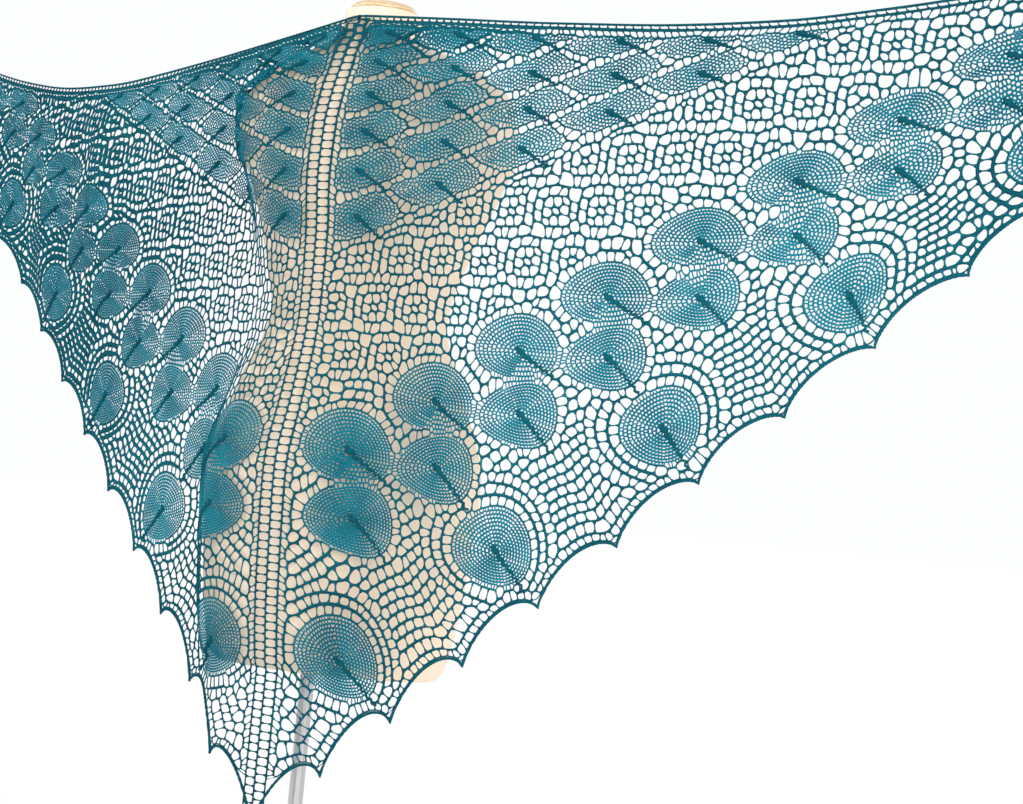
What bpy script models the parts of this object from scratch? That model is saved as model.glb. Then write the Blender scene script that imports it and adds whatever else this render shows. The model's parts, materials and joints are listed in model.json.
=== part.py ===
"""A triangular knitted lace shawl, hung over the back of a limbless dress form on a pole.

Metres, +Z up. The origin is the centre of the base's underside, the wings lie along X,
and the form's back, with the shawl's point on it, faces -Y.
"""

import math
from collections import namedtuple

import bmesh
import bpy

# The lace
LACE_ROWS = 15.0  # rows of lace from the neck to the hem, and hem points on each wing
CLOTH_WALL = 0.0018  # measured along Y
SEAM_GAP = 0.0003
SPINE_HALF_WIDTH = 0.014
TOP_EDGING_WIDTH = 0.007
CAST_OFF_ROWS = 0.075  # width of the cast-off cord, in lace rows
CAST_OFF_GAP_ROWS = 0.009  # the seam above it
SCALLOP_ROWS = 0.55  # how deep the hem is hollowed between two points, in lace rows
WING_SWEEP = math.radians(9.0)  # each wing leans this much towards the form's front
SHORTEST_ROW = 0.026  # a row of lace starts beside the spine once it reaches this far
FIRST_ROW_STEP = 0.05
STATION_GAP = 0.001  # stations of the top edging closer than this are one
FOLD_FULLNESS = 0.7  # below 1 a fold keeps its depth nearly to its ends
HALVINGS = 40  # how often a search halves its range

# Where the lace changes from one stitch pattern to the next, in lace rows
YOKE_ROWS = (0.0, 6.7)
LATTICE_ROWS = (6.7, 9.1)
LEAF_ROWS = (9.1, 11.7)
BORDER_ROWS = (11.7, LACE_ROWS)

# The dress form
FORM_RIM = 0.780
FORM_TURN = math.radians(19.0)  # the form's back is turned this much towards the right wing
CLOTH_CLEARANCE = 0.0035
NECK_CLEARANCE = 0.0014  # from the middle of the cloth to the neck that it hangs on
NECK_BASE = 1.455  # the cloth comes this close from here up to the next height
NECK_FOOT = 1.480
CLOTH_EASE = 0.010  # how softly the cloth leaves the form
ARM_PLATE = 0.156  # the flat ends of the shoulders stand at this distance from the middle
FORM_SIDES = 32
NECK_CAP_THICKNESS = 0.009
NECK_CAP_RADIUS = 0.037
NECK_FORWARD = 0.030  # the neck's centre stands this far in front of the pole

# The stand
POLE_RADIUS = 0.008
BASE_RADIUS = 0.165
BASE_THICKNESS = 0.010
BASE_EDGE = 0.004
BASE_CHAMFER = 0.001
SOCKET_RADIUS = 0.018
SOCKET_FLANGE = 0.006
SOCKET_STEP = 0.004
SOCKET_WALL = 0.004
SOCKET_HEIGHT = 0.040
CAP_CHAMFER = 0.002
CAP_ROUNDING = 0.004
POLE_SIDES = 20
BASE_SIDES = 40
TURNED_SHARP = math.radians(35.0)

ClothRow = namedtuple("ClothRow", "row spine_height top_reach")
CLOTH_ROWS = (
    ClothRow(0.0, 1.485, 0.000),
    ClothRow(3.0, 1.380, 0.280),
    ClothRow(6.7, 1.205, 0.630),
    ClothRow(9.75, 0.966, 0.895),
    ClothRow(11.0, 0.886, 0.996),
    ClothRow(13.0, 0.738, 1.110),
    ClothRow(15.0, 0.612, 1.180),
)

TopEdge = namedtuple("TopEdge", "reach left right")
TOP_EDGE = (
    TopEdge(0.00, 1.4880, 1.4880),
    TopEdge(0.12, 1.4810, 1.4770),
    TopEdge(0.26, 1.4755, 1.4635),
    TopEdge(0.40, 1.4725, 1.4545),
    TopEdge(0.50, 1.4710, 1.4530),
    TopEdge(0.60, 1.4755, 1.4585),
    TopEdge(0.68, 1.4825, 1.4660),
    TopEdge(0.80, 1.5035, 1.4890),
    TopEdge(0.90, 1.5275, 1.5130),
    TopEdge(1.18, 1.6080, 1.6080),
)

ClothDepth = namedtuple("ClothDepth", "height back")
CLOTH_DEPTHS = (
    ClothDepth(0.600, 0.0560),
    ClothDepth(1.000, 0.0500),
    ClothDepth(1.300, 0.0380),
    ClothDepth(1.420, 0.0280),
    ClothDepth(1.470, 0.0171),
    ClothDepth(1.600, 0.0171),
)

# Soft ridges of the cloth, from a first place to a last one. Side is 1 on the right wing and
# -1 on the left, reach is measured along the wing from the spine, and depth stands out to -Y.
Fold = namedtuple("Fold", "side reach_a height_a reach_b height_b width depth")
FOLDS = (
    Fold(1, 0.020, 1.470, 0.330, 1.430, 0.011, 0.009),
    Fold(1, 0.015, 1.452, 0.215, 1.370, 0.013, 0.012),
    Fold(1, 0.020, 1.418, 0.150, 1.300, 0.014, 0.006),
    Fold(-1, 0.020, 1.472, 0.280, 1.445, 0.011, 0.009),
    Fold(-1, 0.015, 1.455, 0.190, 1.385, 0.013, 0.012),
    Fold(-1, 0.020, 1.420, 0.140, 1.310, 0.014, 0.006),
    Fold(1, 1.100, 1.560, 0.720, 1.330, 0.020, 0.016),
    Fold(1, 1.100, 1.570, 0.780, 1.440, 0.018, 0.014),
    Fold(1, 1.060, 1.520, 0.620, 1.180, 0.026, 0.010),
    Fold(-1, 1.100, 1.570, 0.840, 1.440, 0.018, 0.016),
    Fold(-1, 1.080, 1.550, 0.800, 1.300, 0.022, 0.020),
    Fold(-1, 1.060, 1.520, 0.700, 1.220, 0.026, 0.014),
    Fold(-1, 0.560, 1.460, 0.480, 1.160, 0.030, 0.008),
    Fold(1, 0.060, 1.120, 0.080, 0.760, 0.020, 0.007),
    Fold(-1, 0.080, 1.080, 0.120, 0.780, 0.022, 0.008),
)

FormRing = namedtuple("FormRing", "height half_width back front")
FORM_RINGS = (
    FormRing(0.780, 0.128, 0.048, 0.120),
    FormRing(0.790, 0.137, 0.053, 0.125),
    FormRing(0.880, 0.152, 0.064, 0.136),
    FormRing(0.990, 0.160, 0.069, 0.139),
    FormRing(1.080, 0.133, 0.052, 0.124),
    FormRing(1.165, 0.102, 0.036, 0.114),
    FormRing(1.240, 0.121, 0.040, 0.126),
    FormRing(1.310, 0.147, 0.048, 0.144),
    FormRing(1.360, 0.168, 0.046, 0.130),
    FormRing(1.400, 0.162, 0.038, 0.108),
    FormRing(1.428, 0.136, 0.029, 0.096),
    FormRing(1.450, 0.094, 0.022, 0.086),
    FormRing(1.467, 0.058, 0.0160, 0.078),
    FormRing(1.481, 0.044, 0.0130, 0.073),
    FormRing(1.499, 0.042, 0.0120, 0.072),
)
RINGS_EACH = 2  # form rings made from each row of the table
FORM_SHARP = math.radians(50.0)  # sharper bends than this stay edges

# How finely each stretch of lace is divided, and which of its squares have an eyelet
Panel = namedtuple("Panel", "name rows down across eyelet_down eyelet_across eyelet_share")
PANELS = (
    Panel("leaf_yoke", YOKE_ROWS, 11, 18, 3, 3, 0.44),
    Panel("square_lattice", LATTICE_ROWS, 5, 20, 2, 2, 0.36),
    Panel("leaf_band", LEAF_ROWS, 5, 24, 2, 2, 0.42),
    Panel("pointed_border", BORDER_ROWS, 5, 60, 3, 4, 0.60),
)
SPINE_STEPS = 26
SPINE_EYELET_SHARE = 0.55


def clear_scene():
    """Removes what a new file starts with."""
    for item in list(bpy.data.objects):
        bpy.data.objects.remove(item, do_unlink=True)


def slopes(places, values):
    """Slopes at a table's rows, for a curve through them that never overshoots."""
    secants = []
    for i in range(len(places) - 1):
        secants.append((values[i + 1] - values[i]) / (places[i + 1] - places[i]))
    result = [secants[0]]
    for before, after in zip(secants[:-1], secants[1:]):
        if before * after <= 0.0:
            result.append(0.0)
        else:
            result.append(2.0 * before * after / (before + after))
    result.append(secants[-1])
    return result


def read_table(table, key, column, place):
    """Reads one column of a table at a place between its rows."""
    places = [getattr(line, key) for line in table]
    values = [getattr(line, column) for line in table]
    steep = slopes(places, values)
    place = min(max(place, places[0]), places[-1])
    i = 0
    while i < len(places) - 2 and place > places[i + 1]:
        i += 1
    span = places[i + 1] - places[i]
    t = (place - places[i]) / span
    keep = 2.0 * t**3 - 3.0 * t**2 + 1.0
    leave = (t**3 - 2.0 * t**2 + t) * span
    arrive = (t**3 - t**2) * span
    return values[i] * keep + steep[i] * leave + values[i + 1] * (1.0 - keep) + steep[i + 1] * arrive


def form_place(across, forward):
    """A place on the turned form, from its own two directions."""
    turn = (math.cos(FORM_TURN), math.sin(FORM_TURN))
    return (across * turn[0] - forward * turn[1], across * turn[1] + forward * turn[0])


def form_ring(height):
    """Half width, half depth and forward shift of the form at a height."""
    half_width = read_table(FORM_RINGS, "height", "half_width", height)
    back = read_table(FORM_RINGS, "height", "back", height)
    front = read_table(FORM_RINGS, "height", "front", height)
    return half_width, (front + back) / 2.0, (front - back) / 2.0


def form_back(x, height):
    """Where the form's back is at this place, or None beside or above it. The cloth that hangs
    below the form keeps the shape of its rim."""
    if height > FORM_RINGS[-1].height:
        return None
    half_width, half_depth, forward = form_ring(height)
    cosine, sine = math.cos(FORM_TURN), math.sin(FORM_TURN)
    level = x * sine + forward
    square = (sine / half_width) ** 2 + (cosine / half_depth) ** 2
    linear = 2.0 * (x * cosine * sine / half_width**2 - cosine * level / half_depth**2)
    constant = (x * cosine / half_width) ** 2 + (level / half_depth) ** 2 - 1.0
    inside = linear**2 - 4.0 * square * constant
    if inside <= 0.0:
        return None
    return (-linear - math.sqrt(inside)) / (2.0 * square)


def fold_relief(side, reach, height):
    """How far the folds stand out of the cloth here."""
    relief = 0.0
    for fold in FOLDS:
        if fold.side != side:
            continue
        along = (fold.reach_b - fold.reach_a, fold.height_b - fold.height_a)
        length = math.hypot(*along)
        unit = (along[0] / length, along[1] / length)
        offset = (reach - fold.reach_a, height - fold.height_a)
        travel = (offset[0] * unit[0] + offset[1] * unit[1]) / length
        aside = offset[0] * unit[1] - offset[1] * unit[0]
        if travel <= 0.0 or travel >= 1.0:
            continue
        fade = math.sin(math.pi * travel) ** FOLD_FULLNESS
        relief += fold.depth * fade * math.exp(-((aside / fold.width) ** 2))
    return relief


def neck_share(height):
    """From 0 on the back to 1 at the neck, where the cloth is pulled straight and touches."""
    return min(max((height - NECK_BASE) / (NECK_FOOT - NECK_BASE), 0.0), 1.0)


def cloth_point(side, reach, height):
    """The middle of the cloth at a reach along a wing and a height."""
    x = side * reach * math.cos(WING_SWEEP)
    y = reach * math.sin(WING_SWEEP) - read_table(CLOTH_DEPTHS, "height", "back", height)
    behind = form_back(x, height)
    if behind is not None:
        share = neck_share(height)
        seat = behind - CLOTH_CLEARANCE + (CLOTH_CLEARANCE - NECK_CLEARANCE) * share
        ease = CLOTH_EASE * (1.0 - share)
        y = (y + seat - math.hypot(y - seat, ease)) / 2.0
    return (x, y - fold_relief(side, reach, height), height)


def top_height(side, reach):
    """Height of the shawl's top edge."""
    column = "right" if side > 0 else "left"
    return read_table(TOP_EDGE, "reach", column, reach)


def row_height(side, row, reach):
    """Height of a row of lace, which runs straight from the spine to the top edge."""
    on_spine = read_table(CLOTH_ROWS, "row", "spine_height", row)
    end = read_table(CLOTH_ROWS, "row", "top_reach", row)
    if end <= 0.0:
        return on_spine
    return on_spine + (top_height(side, end) - on_spine) * reach / end


def row_end(side, row):
    """Where a row of lace meets the seam under the top edging."""
    below = TOP_EDGING_WIDTH + SEAM_GAP
    low = 0.0
    high = read_table(CLOTH_ROWS, "row", "top_reach", row)
    for _ in range(HALVINGS):
        middle = (low + high) / 2.0
        if row_height(side, row, middle) < top_height(side, middle) - below:
            low = middle
        else:
            high = middle
    return low


def first_row(side):
    """The first row of lace that is long enough to leave the spine."""
    row = FIRST_ROW_STEP
    while row_end(side, row) < SHORTEST_ROW:
        row += FIRST_ROW_STEP
    return row


def hem_row(across):
    """The hem's row of lace at a share of the wing: points with hollows between them."""
    place = (across * LACE_ROWS) % 1.0
    hollow = 4.0 * place * (1.0 - place)
    return LACE_ROWS - SCALLOP_ROWS * hollow


def new_material(name, colour, roughness, metallic=0.0):
    """A plain Principled material."""
    material = bpy.data.materials.new(name)
    material.use_nodes = True
    shader = material.node_tree.nodes["Principled BSDF"]
    shader.inputs["Base Color"].default_value = (*colour, 1.0)
    shader.inputs["Roughness"].default_value = roughness
    shader.inputs["Metallic"].default_value = metallic
    material.diffuse_color = (*colour, 1.0)
    return material


def add_object(name, points, faces, material, smooth_angle=None):
    """Makes one closed solid from points and faces."""
    mesh = bpy.data.meshes.new(name)
    mesh.from_pydata(points, [], faces)
    work = bmesh.new()
    work.from_mesh(mesh)
    bmesh.ops.recalc_face_normals(work, faces=work.faces)
    work.to_mesh(mesh)
    work.free()
    mesh.materials.append(material)
    if smooth_angle is not None:
        mesh.shade_smooth()
        mesh.set_sharp_from_angle(angle=smooth_angle)
    item = bpy.data.objects.new(name, mesh)
    bpy.context.collection.objects.link(item)
    return item


def wall(name, places, faces, material):
    """Thickens a sheet of cloth, given as points in the middle of it, along Y."""
    half = CLOTH_WALL / 2.0
    count = len(places)
    points = [(x, y - half, z) for x, y, z in places]
    points += [(x, y + half, z) for x, y, z in places]
    solid = [tuple(face) for face in faces]
    solid += [tuple(i + count for i in reversed(face)) for face in faces]
    edges = {}
    for face in faces:
        for a, b in zip(face, face[1:] + face[:1]):
            if (b, a) in edges:
                del edges[(b, a)]
            else:
                edges[(a, b)] = True
    for a, b in edges:
        solid.append((b, a, a + count, b + count))
    return add_object(name, points, solid, material)


def sheet(side, grid, eyelets, share):
    """Points and faces of a grid of reach and height, with an eyelet in the named squares."""
    across = len(grid[0])
    places = [cloth_point(side, reach, height) for line in grid for reach, height in line]
    faces = []
    for i in range(len(grid) - 1):
        for j in range(across - 1):
            corners = [i * across + j, i * across + j + 1]
            corners += [(i + 1) * across + j + 1, (i + 1) * across + j]
            if (i, j) not in eyelets:
                faces.append(corners)
                continue
            flat = [grid[i][j], grid[i][j + 1], grid[i + 1][j + 1], grid[i + 1][j]]
            middle = (sum(c[0] for c in flat) / 4.0, sum(c[1] for c in flat) / 4.0)
            rim = []
            for reach, height in flat:
                inner_reach = middle[0] + (reach - middle[0]) * share
                inner_height = middle[1] + (height - middle[1]) * share
                rim.append(len(places))
                places.append(cloth_point(side, inner_reach, inner_height))
            for k in range(4):
                n = (k + 1) % 4
                faces.append([corners[k], corners[n], rim[n], rim[k]])
    return places, faces


def panel_rows(side, panel):
    """The rows of lace at which a panel is divided, from its upper seam to its lower one."""
    start, end = panel.rows
    if start <= 0.0:
        start = first_row(side)
    return [start + (end - start) * i / panel.down for i in range(panel.down + 1)]


def seam_shift(panel, i):
    """How far a panel's first row stands off its seam, in metres of height."""
    return SEAM_GAP if i == 0 and panel.rows[0] > 0.0 else 0.0


def reach_across(side, row, across, has_hem):
    """Reach at a share of a row. On the border the shares meet the hem's points."""
    inner = SPINE_HALF_WIDTH + SEAM_GAP
    end = row_end(side, row)
    if has_hem:
        return max(inner, end * across)
    return inner + (end - inner) * across


def panel_grid(side, panel):
    """Reach and height of each point of a panel."""
    grid = []
    has_hem = panel.rows[1] >= LACE_ROWS
    for i, row in enumerate(panel_rows(side, panel)):
        line = []
        for j in range(panel.across + 1):
            across = j / panel.across
            here = row
            if has_hem:
                depth = (row - panel.rows[0]) / (panel.rows[1] - panel.rows[0])
                lowest = hem_row(across) - CAST_OFF_ROWS
                here = panel.rows[0] + (lowest - panel.rows[0]) * depth
            reach = reach_across(side, here, across, has_hem)
            line.append((reach, row_height(side, here, reach) - seam_shift(panel, i)))
        grid.append(line)
    return grid


def panel_eyelets(panel):
    """The squares of a panel that hold its largest eyelets."""
    chosen = set()
    for i in range(1, panel.down - 1, panel.eyelet_down):
        for j in range(1 + i % 2, panel.across - 2, panel.eyelet_across):
            chosen.add((i, j))
    return chosen


def add_panels(material):
    """The stretches of lace on each wing."""
    for side, hand in ((1, "right"), (-1, "left")):
        for panel in PANELS:
            grid = panel_grid(side, panel)
            places, faces = sheet(side, grid, panel_eyelets(panel), panel.eyelet_share)
            wall(f"{panel.name}_{hand}", places, faces, material)


def add_spine(material):
    """The ladder of eyelets down the middle of the back."""
    top = TOP_EDGE[0].right - TOP_EDGING_WIDTH - 2.0 * SEAM_GAP
    bottom = row_height(1, LACE_ROWS - CAST_OFF_ROWS, 0.0)
    grid = []
    for i in range(SPINE_STEPS + 1):
        height = top + (bottom - top) * i / SPINE_STEPS
        line = []
        for share in (-1.0, 0.0, 1.0):
            lift = spine_hem_lift(share) if i == SPINE_STEPS else 0.0
            sink = spine_top_sink(share) if i == 0 else 0.0
            line.append((share * SPINE_HALF_WIDTH, height + lift - sink))
        grid.append(line)
    eyelets = {(i, j) for i in range(1, SPINE_STEPS - 1) for j in (0, 1)}
    places, faces = spine_sheet(grid, eyelets)
    wall("spine_ladder", places, faces, material)


def spine_sheet(grid, eyelets):
    """As sheet, for a strip that lies on both sides of the middle."""
    places, faces = sheet(1, grid, eyelets, SPINE_EYELET_SHARE)
    return [mirrored_point(place) for place in places], faces


def mirrored_point(place):
    """A point of the spine, whose reach may be on the left of the middle."""
    x, _, height = place
    side = -1 if x < 0.0 else 1
    return cloth_point(side, abs(x) / math.cos(WING_SWEEP), height)


def spine_top_sink(share):
    """The top edging dips beside the neck, and the spine's upper corners with it."""
    at_side = min(top_height(1, SPINE_HALF_WIDTH), top_height(-1, SPINE_HALF_WIDTH))
    return (TOP_EDGE[0].right - at_side) * abs(share)


def spine_hem_lift(share):
    """The spine's lower end is a point: its corners stand higher than its middle."""
    row = LACE_ROWS - CAST_OFF_ROWS
    inner = SPINE_HALF_WIDTH * abs(share)
    return row_height(1, row, inner) - row_height(1, row, 0.0)


def edging_stations(side):
    """Reaches at which the panels' rows meet the top edging."""
    stations = []
    for panel in PANELS:
        for row in panel_rows(side, panel):
            has_hem = panel.rows[1] >= LACE_ROWS
            here = row
            if has_hem:
                depth = (row - panel.rows[0]) / (panel.rows[1] - panel.rows[0])
                here = panel.rows[0] + (LACE_ROWS - CAST_OFF_ROWS - panel.rows[0]) * depth
            reach = row_end(side, here)
            if not stations or reach > stations[-1] + STATION_GAP:
                stations.append(reach)
    stations.append(read_table(CLOTH_ROWS, "row", "top_reach", LACE_ROWS))
    return stations


def add_strip(name, side, pairs, material):
    """A narrow band of cloth, from pairs of reach and height on its two edges."""
    places = []
    for pair in pairs:
        for reach, height in pair:
            places.append(cloth_point(side, reach, height))
    faces = [[2 * i, 2 * i + 1, 2 * i + 3, 2 * i + 2] for i in range(len(pairs) - 1)]
    wall(name, places, faces, material)


def add_top_edging(material):
    """The plain band along the top edge, which meets itself behind the neck."""
    for side, hand in ((1, "right"), (-1, "left")):
        pairs = []
        for reach in [SEAM_GAP / 2.0, SPINE_HALF_WIDTH] + edging_stations(side):
            top = top_height(side, reach)
            pairs.append(((reach, top), (reach, top - TOP_EDGING_WIDTH)))
        add_strip(f"top_edging_{hand}", side, pairs, material)


def add_cast_off(material):
    """The cord along the pointed hem, in two halves that meet at the shawl's point."""
    border = PANELS[-1]
    for side, hand in ((1, "right"), (-1, "left")):
        pairs = []
        for j in range(-1, border.across + 1):
            across = max(j, 0) / border.across
            outer_row = hem_row(across)
            inner_row = outer_row - CAST_OFF_ROWS + CAST_OFF_GAP_ROWS
            pair = []
            for row in (inner_row, outer_row):
                reach = reach_across(side, row, across, True)
                if j < 0:
                    reach = SEAM_GAP / 2.0
                pair.append((reach, row_height(side, row, reach)))
            pairs.append(pair)
        add_strip(f"cast_off_edge_{hand}", side, pairs, material)


def add_lathe(name, profile, centre, sides, material):
    """A turned solid about a vertical axis, from pairs of radius and height."""
    points = []
    for radius, height in profile:
        for k in range(sides):
            angle = 2.0 * math.pi * k / sides
            across = centre[0] + radius * math.cos(angle)
            points.append((across, centre[1] + radius * math.sin(angle), height))
    faces = []
    for i in range(len(profile) - 1):
        for k in range(sides):
            n = (k + 1) % sides
            faces.append((i * sides + k, i * sides + n, (i + 1) * sides + n, (i + 1) * sides + k))
    faces.append(tuple(range(sides)))
    last = (len(profile) - 1) * sides
    faces.append(tuple(last + k for k in reversed(range(sides))))
    return add_object(name, points, faces, material, TURNED_SHARP)


def add_torso(material):
    """The limbless torso and its neck, one smooth closed form."""
    heights = []
    for below, above in zip(FORM_RINGS[:-1], FORM_RINGS[1:]):
        for k in range(RINGS_EACH):
            heights.append(below.height + (above.height - below.height) * k / RINGS_EACH)
    heights.append(FORM_RINGS[-1].height)
    points = []
    for height in heights:
        half_width, half_depth, forward = form_ring(height)
        for k in range(FORM_SIDES):
            angle = 2.0 * math.pi * k / FORM_SIDES
            across = min(max(half_width * math.cos(angle), -ARM_PLATE), ARM_PLATE)
            points.append((*form_place(across, forward + half_depth * math.sin(angle)), height))
    faces = []
    for i in range(len(heights) - 1):
        for k in range(FORM_SIDES):
            n = (k + 1) % FORM_SIDES
            low = i * FORM_SIDES
            high = low + FORM_SIDES
            faces.append((low + k, low + n, high + n, high + k))
    faces.append(tuple(range(FORM_SIDES)))
    last = (len(heights) - 1) * FORM_SIDES
    faces.append(tuple(last + k for k in reversed(range(FORM_SIDES))))
    add_object("form_torso", points, faces, material, FORM_SHARP)


def add_stand(steel, wood):
    """The neck cap, the pole and the round base."""
    cap_low = FORM_RINGS[-1].height + SEAM_GAP
    cap_top = cap_low + NECK_CAP_THICKNESS
    cap = (
        (NECK_CAP_RADIUS - CAP_CHAMFER, cap_low),
        (NECK_CAP_RADIUS, cap_low + CAP_CHAMFER),
        (NECK_CAP_RADIUS, cap_top - CAP_ROUNDING),
        (NECK_CAP_RADIUS - CAP_ROUNDING, cap_top),
    )
    add_lathe("neck_cap", cap, form_place(0.0, NECK_FORWARD), FORM_SIDES, wood)
    base_top = BASE_THICKNESS
    base = (
        (BASE_RADIUS - BASE_CHAMFER, 0.0),
        (BASE_RADIUS, BASE_CHAMFER),
        (BASE_RADIUS, base_top - BASE_EDGE),
        (BASE_RADIUS - BASE_EDGE, base_top),
    )
    add_lathe("stand_base", base, (0.0, 0.0), BASE_SIDES, steel)
    foot = base_top + SEAM_GAP
    pole = ((POLE_RADIUS, foot), (POLE_RADIUS, FORM_RIM - SEAM_GAP))
    add_lathe("stand_pole", pole, (0.0, 0.0), POLE_SIDES, steel)
    socket = (
        (SOCKET_RADIUS, foot),
        (SOCKET_RADIUS, foot + SOCKET_FLANGE),
        (POLE_RADIUS + SOCKET_WALL, foot + SOCKET_FLANGE + SOCKET_STEP),
        (POLE_RADIUS + SOCKET_WALL, foot + SOCKET_HEIGHT),
    )
    add_ring("base_socket", socket, POLE_RADIUS + SEAM_GAP, POLE_SIDES, steel)


def add_ring(name, profile, hole, sides, material):
    """A turned solid with a round hole through it."""
    loop = list(profile) + [(hole, profile[-1][1]), (hole, profile[0][1])]
    points = []
    for radius, height in loop:
        for k in range(sides):
            angle = 2.0 * math.pi * k / sides
            points.append((radius * math.cos(angle), radius * math.sin(angle), height))
    faces = []
    for i in range(len(loop)):
        m = (i + 1) % len(loop)
        for k in range(sides):
            n = (k + 1) % sides
            faces.append((i * sides + k, i * sides + n, m * sides + n, m * sides + k))
    return add_object(name, points, faces, material, TURNED_SHARP)


def main():
    clear_scene()
    yarn = new_material("teal_wool", (0.012, 0.085, 0.120), 0.8)
    linen = new_material("cream_linen", (0.62, 0.43, 0.26), 0.85)
    steel = new_material("brushed_steel", (0.55, 0.53, 0.54), 0.35, 1.0)
    wood = new_material("pale_wood", (0.60, 0.42, 0.24), 0.6)
    add_panels(yarn)
    add_spine(yarn)
    add_top_edging(yarn)
    add_cast_off(yarn)
    add_torso(linen)
    add_stand(steel, wood)


main()
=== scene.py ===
# %% [markdown]
# # A knitted lace shawl on a dress form
# The shawl is a wide triangle of fine teal wool, knitted from the neck outwards. It hangs over
# the back of a padded dress form, and its wings are held out to both sides. This lesson dresses
# the plain solids of that object: it knits the lace as a real net of yarn, covers the form with
# linen and gives the stand its metal. Everything is in metres, +Z is up, and the form's back
# faces -Y.

# %% The frame
import json
import math

import bpy
import numpy as np
from mathutils import Matrix, Vector
from mathutils.geometry import delaunay_2d_cdt

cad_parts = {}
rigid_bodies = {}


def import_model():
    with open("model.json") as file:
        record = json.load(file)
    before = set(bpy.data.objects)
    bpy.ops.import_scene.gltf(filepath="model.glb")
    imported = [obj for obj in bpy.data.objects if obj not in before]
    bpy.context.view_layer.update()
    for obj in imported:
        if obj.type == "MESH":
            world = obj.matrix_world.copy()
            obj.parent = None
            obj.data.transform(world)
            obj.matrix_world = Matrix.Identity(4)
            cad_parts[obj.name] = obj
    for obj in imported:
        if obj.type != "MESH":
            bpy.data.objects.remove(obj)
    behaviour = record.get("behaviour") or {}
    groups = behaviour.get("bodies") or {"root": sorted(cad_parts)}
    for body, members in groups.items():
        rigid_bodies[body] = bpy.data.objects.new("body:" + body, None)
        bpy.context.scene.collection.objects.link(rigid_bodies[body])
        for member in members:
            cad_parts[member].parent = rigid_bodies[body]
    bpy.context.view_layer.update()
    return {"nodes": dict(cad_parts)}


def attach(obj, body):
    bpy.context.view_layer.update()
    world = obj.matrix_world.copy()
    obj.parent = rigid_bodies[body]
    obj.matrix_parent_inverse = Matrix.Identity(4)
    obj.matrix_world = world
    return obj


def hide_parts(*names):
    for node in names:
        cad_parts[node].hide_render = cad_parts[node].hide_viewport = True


for item in list(bpy.data.objects):
    bpy.data.objects.remove(item, do_unlink=True)
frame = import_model()

# %% [markdown]
# ## Writing a finish as a sum
# A finish in Blender is a graph of nodes. Written out node by node it is long and hard to read,
# so a small class wraps one socket, and adding or multiplying two of them adds the Math node.

# %% A socket that can be reckoned with
class Signal:
    """One output of a graph of nodes."""

    def __init__(self, graph, socket):
        self.graph = graph
        self.socket = socket

    def math(self, operation, *values):
        return self.graph.node("ShaderNodeMath", {"operation": operation}, dict(enumerate(values)))

    def __add__(self, other):
        return self.math("ADD", self, other)

    def __sub__(self, other):
        return self.math("SUBTRACT", self, other)

    def __mul__(self, other):
        return self.math("MULTIPLY", self, other)

    def clamp(self):
        return self.math("MINIMUM", self.math("MAXIMUM", self, 0.0), 1.0)


class Graph:
    """The nodes of a finish or of the sky."""

    def __init__(self, tree):
        self.tree = tree

    def node(self, kind, settings=None, inputs=None, out=0):
        """Adds a node: its settings first, then the values or links of its inputs."""
        node = self.tree.nodes.new(kind)
        for key, value in (settings or {}).items():
            setattr(node, key, value)
        for key, value in (inputs or {}).items():
            self.join(value, node.inputs[key])
        return Signal(self, node.outputs[out])

    def join(self, value, socket):
        """Links a signal to an input, or sets the input to a number or colour."""
        if isinstance(value, Signal):
            self.tree.links.new(value.socket, socket)
        else:
            socket.default_value = value


class Finish(Graph):
    """A procedural finish with one Principled shader."""

    def __init__(self, name):
        self.material = bpy.data.materials.new(name)
        self.material.use_nodes = True
        super().__init__(self.material.node_tree)
        self.shader = self.tree.nodes["Principled BSDF"]
        self.place = self.node("ShaderNodeTexCoord", out="Object")

    def noise(self, scale, detail=3.0, place=None):
        inputs = {"Vector": place or self.place, "Scale": scale, "Detail": detail}
        return self.node("ShaderNodeTexNoise", None, inputs)

    def stretch(self, x, y, z):
        """The place, stretched differently along each axis."""
        inputs = {"Vector": self.place, "Scale": (x, y, z)}
        return self.node("ShaderNodeMapping", None, inputs)

    def mix(self, factor, low, high):
        """One colour turning into another."""
        low = low if isinstance(low, Signal) else (*low, 1.0)
        high = high if isinstance(high, Signal) else (*high, 1.0)
        inputs = {0: factor, 6: low, 7: high}
        return self.node("ShaderNodeMix", {"data_type": "RGBA"}, inputs, out=2)

    def bump(self, height, strength, distance):
        inputs = {"Height": height, "Strength": strength, "Distance": distance}
        return self.node("ShaderNodeBump", None, inputs)

    def shade(self, **inputs):
        """Sets or links the Principled shader's inputs, written with _ for a space."""
        for key, value in inputs.items():
            self.join(value, self.shader.inputs[key.replace("_", " ")])
        return self.material


print("a finish is written with + - * and one method that adds a node")

# %% [markdown]
# ## Wool
# The yarn is fine two-ply wool, dyed a dark teal that is a little uneven, as hand-dyed yarn is.
# Its hairs catch the light as a soft sheen. Fuzz could be real hair, but at this thickness it
# is finer than a pixel, so a sheen and a fine bump stand for it.

# %% Teal wool
FLECK_SHARE = 0.30
FLECK_BRIGHTNESS = 1.8


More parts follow.
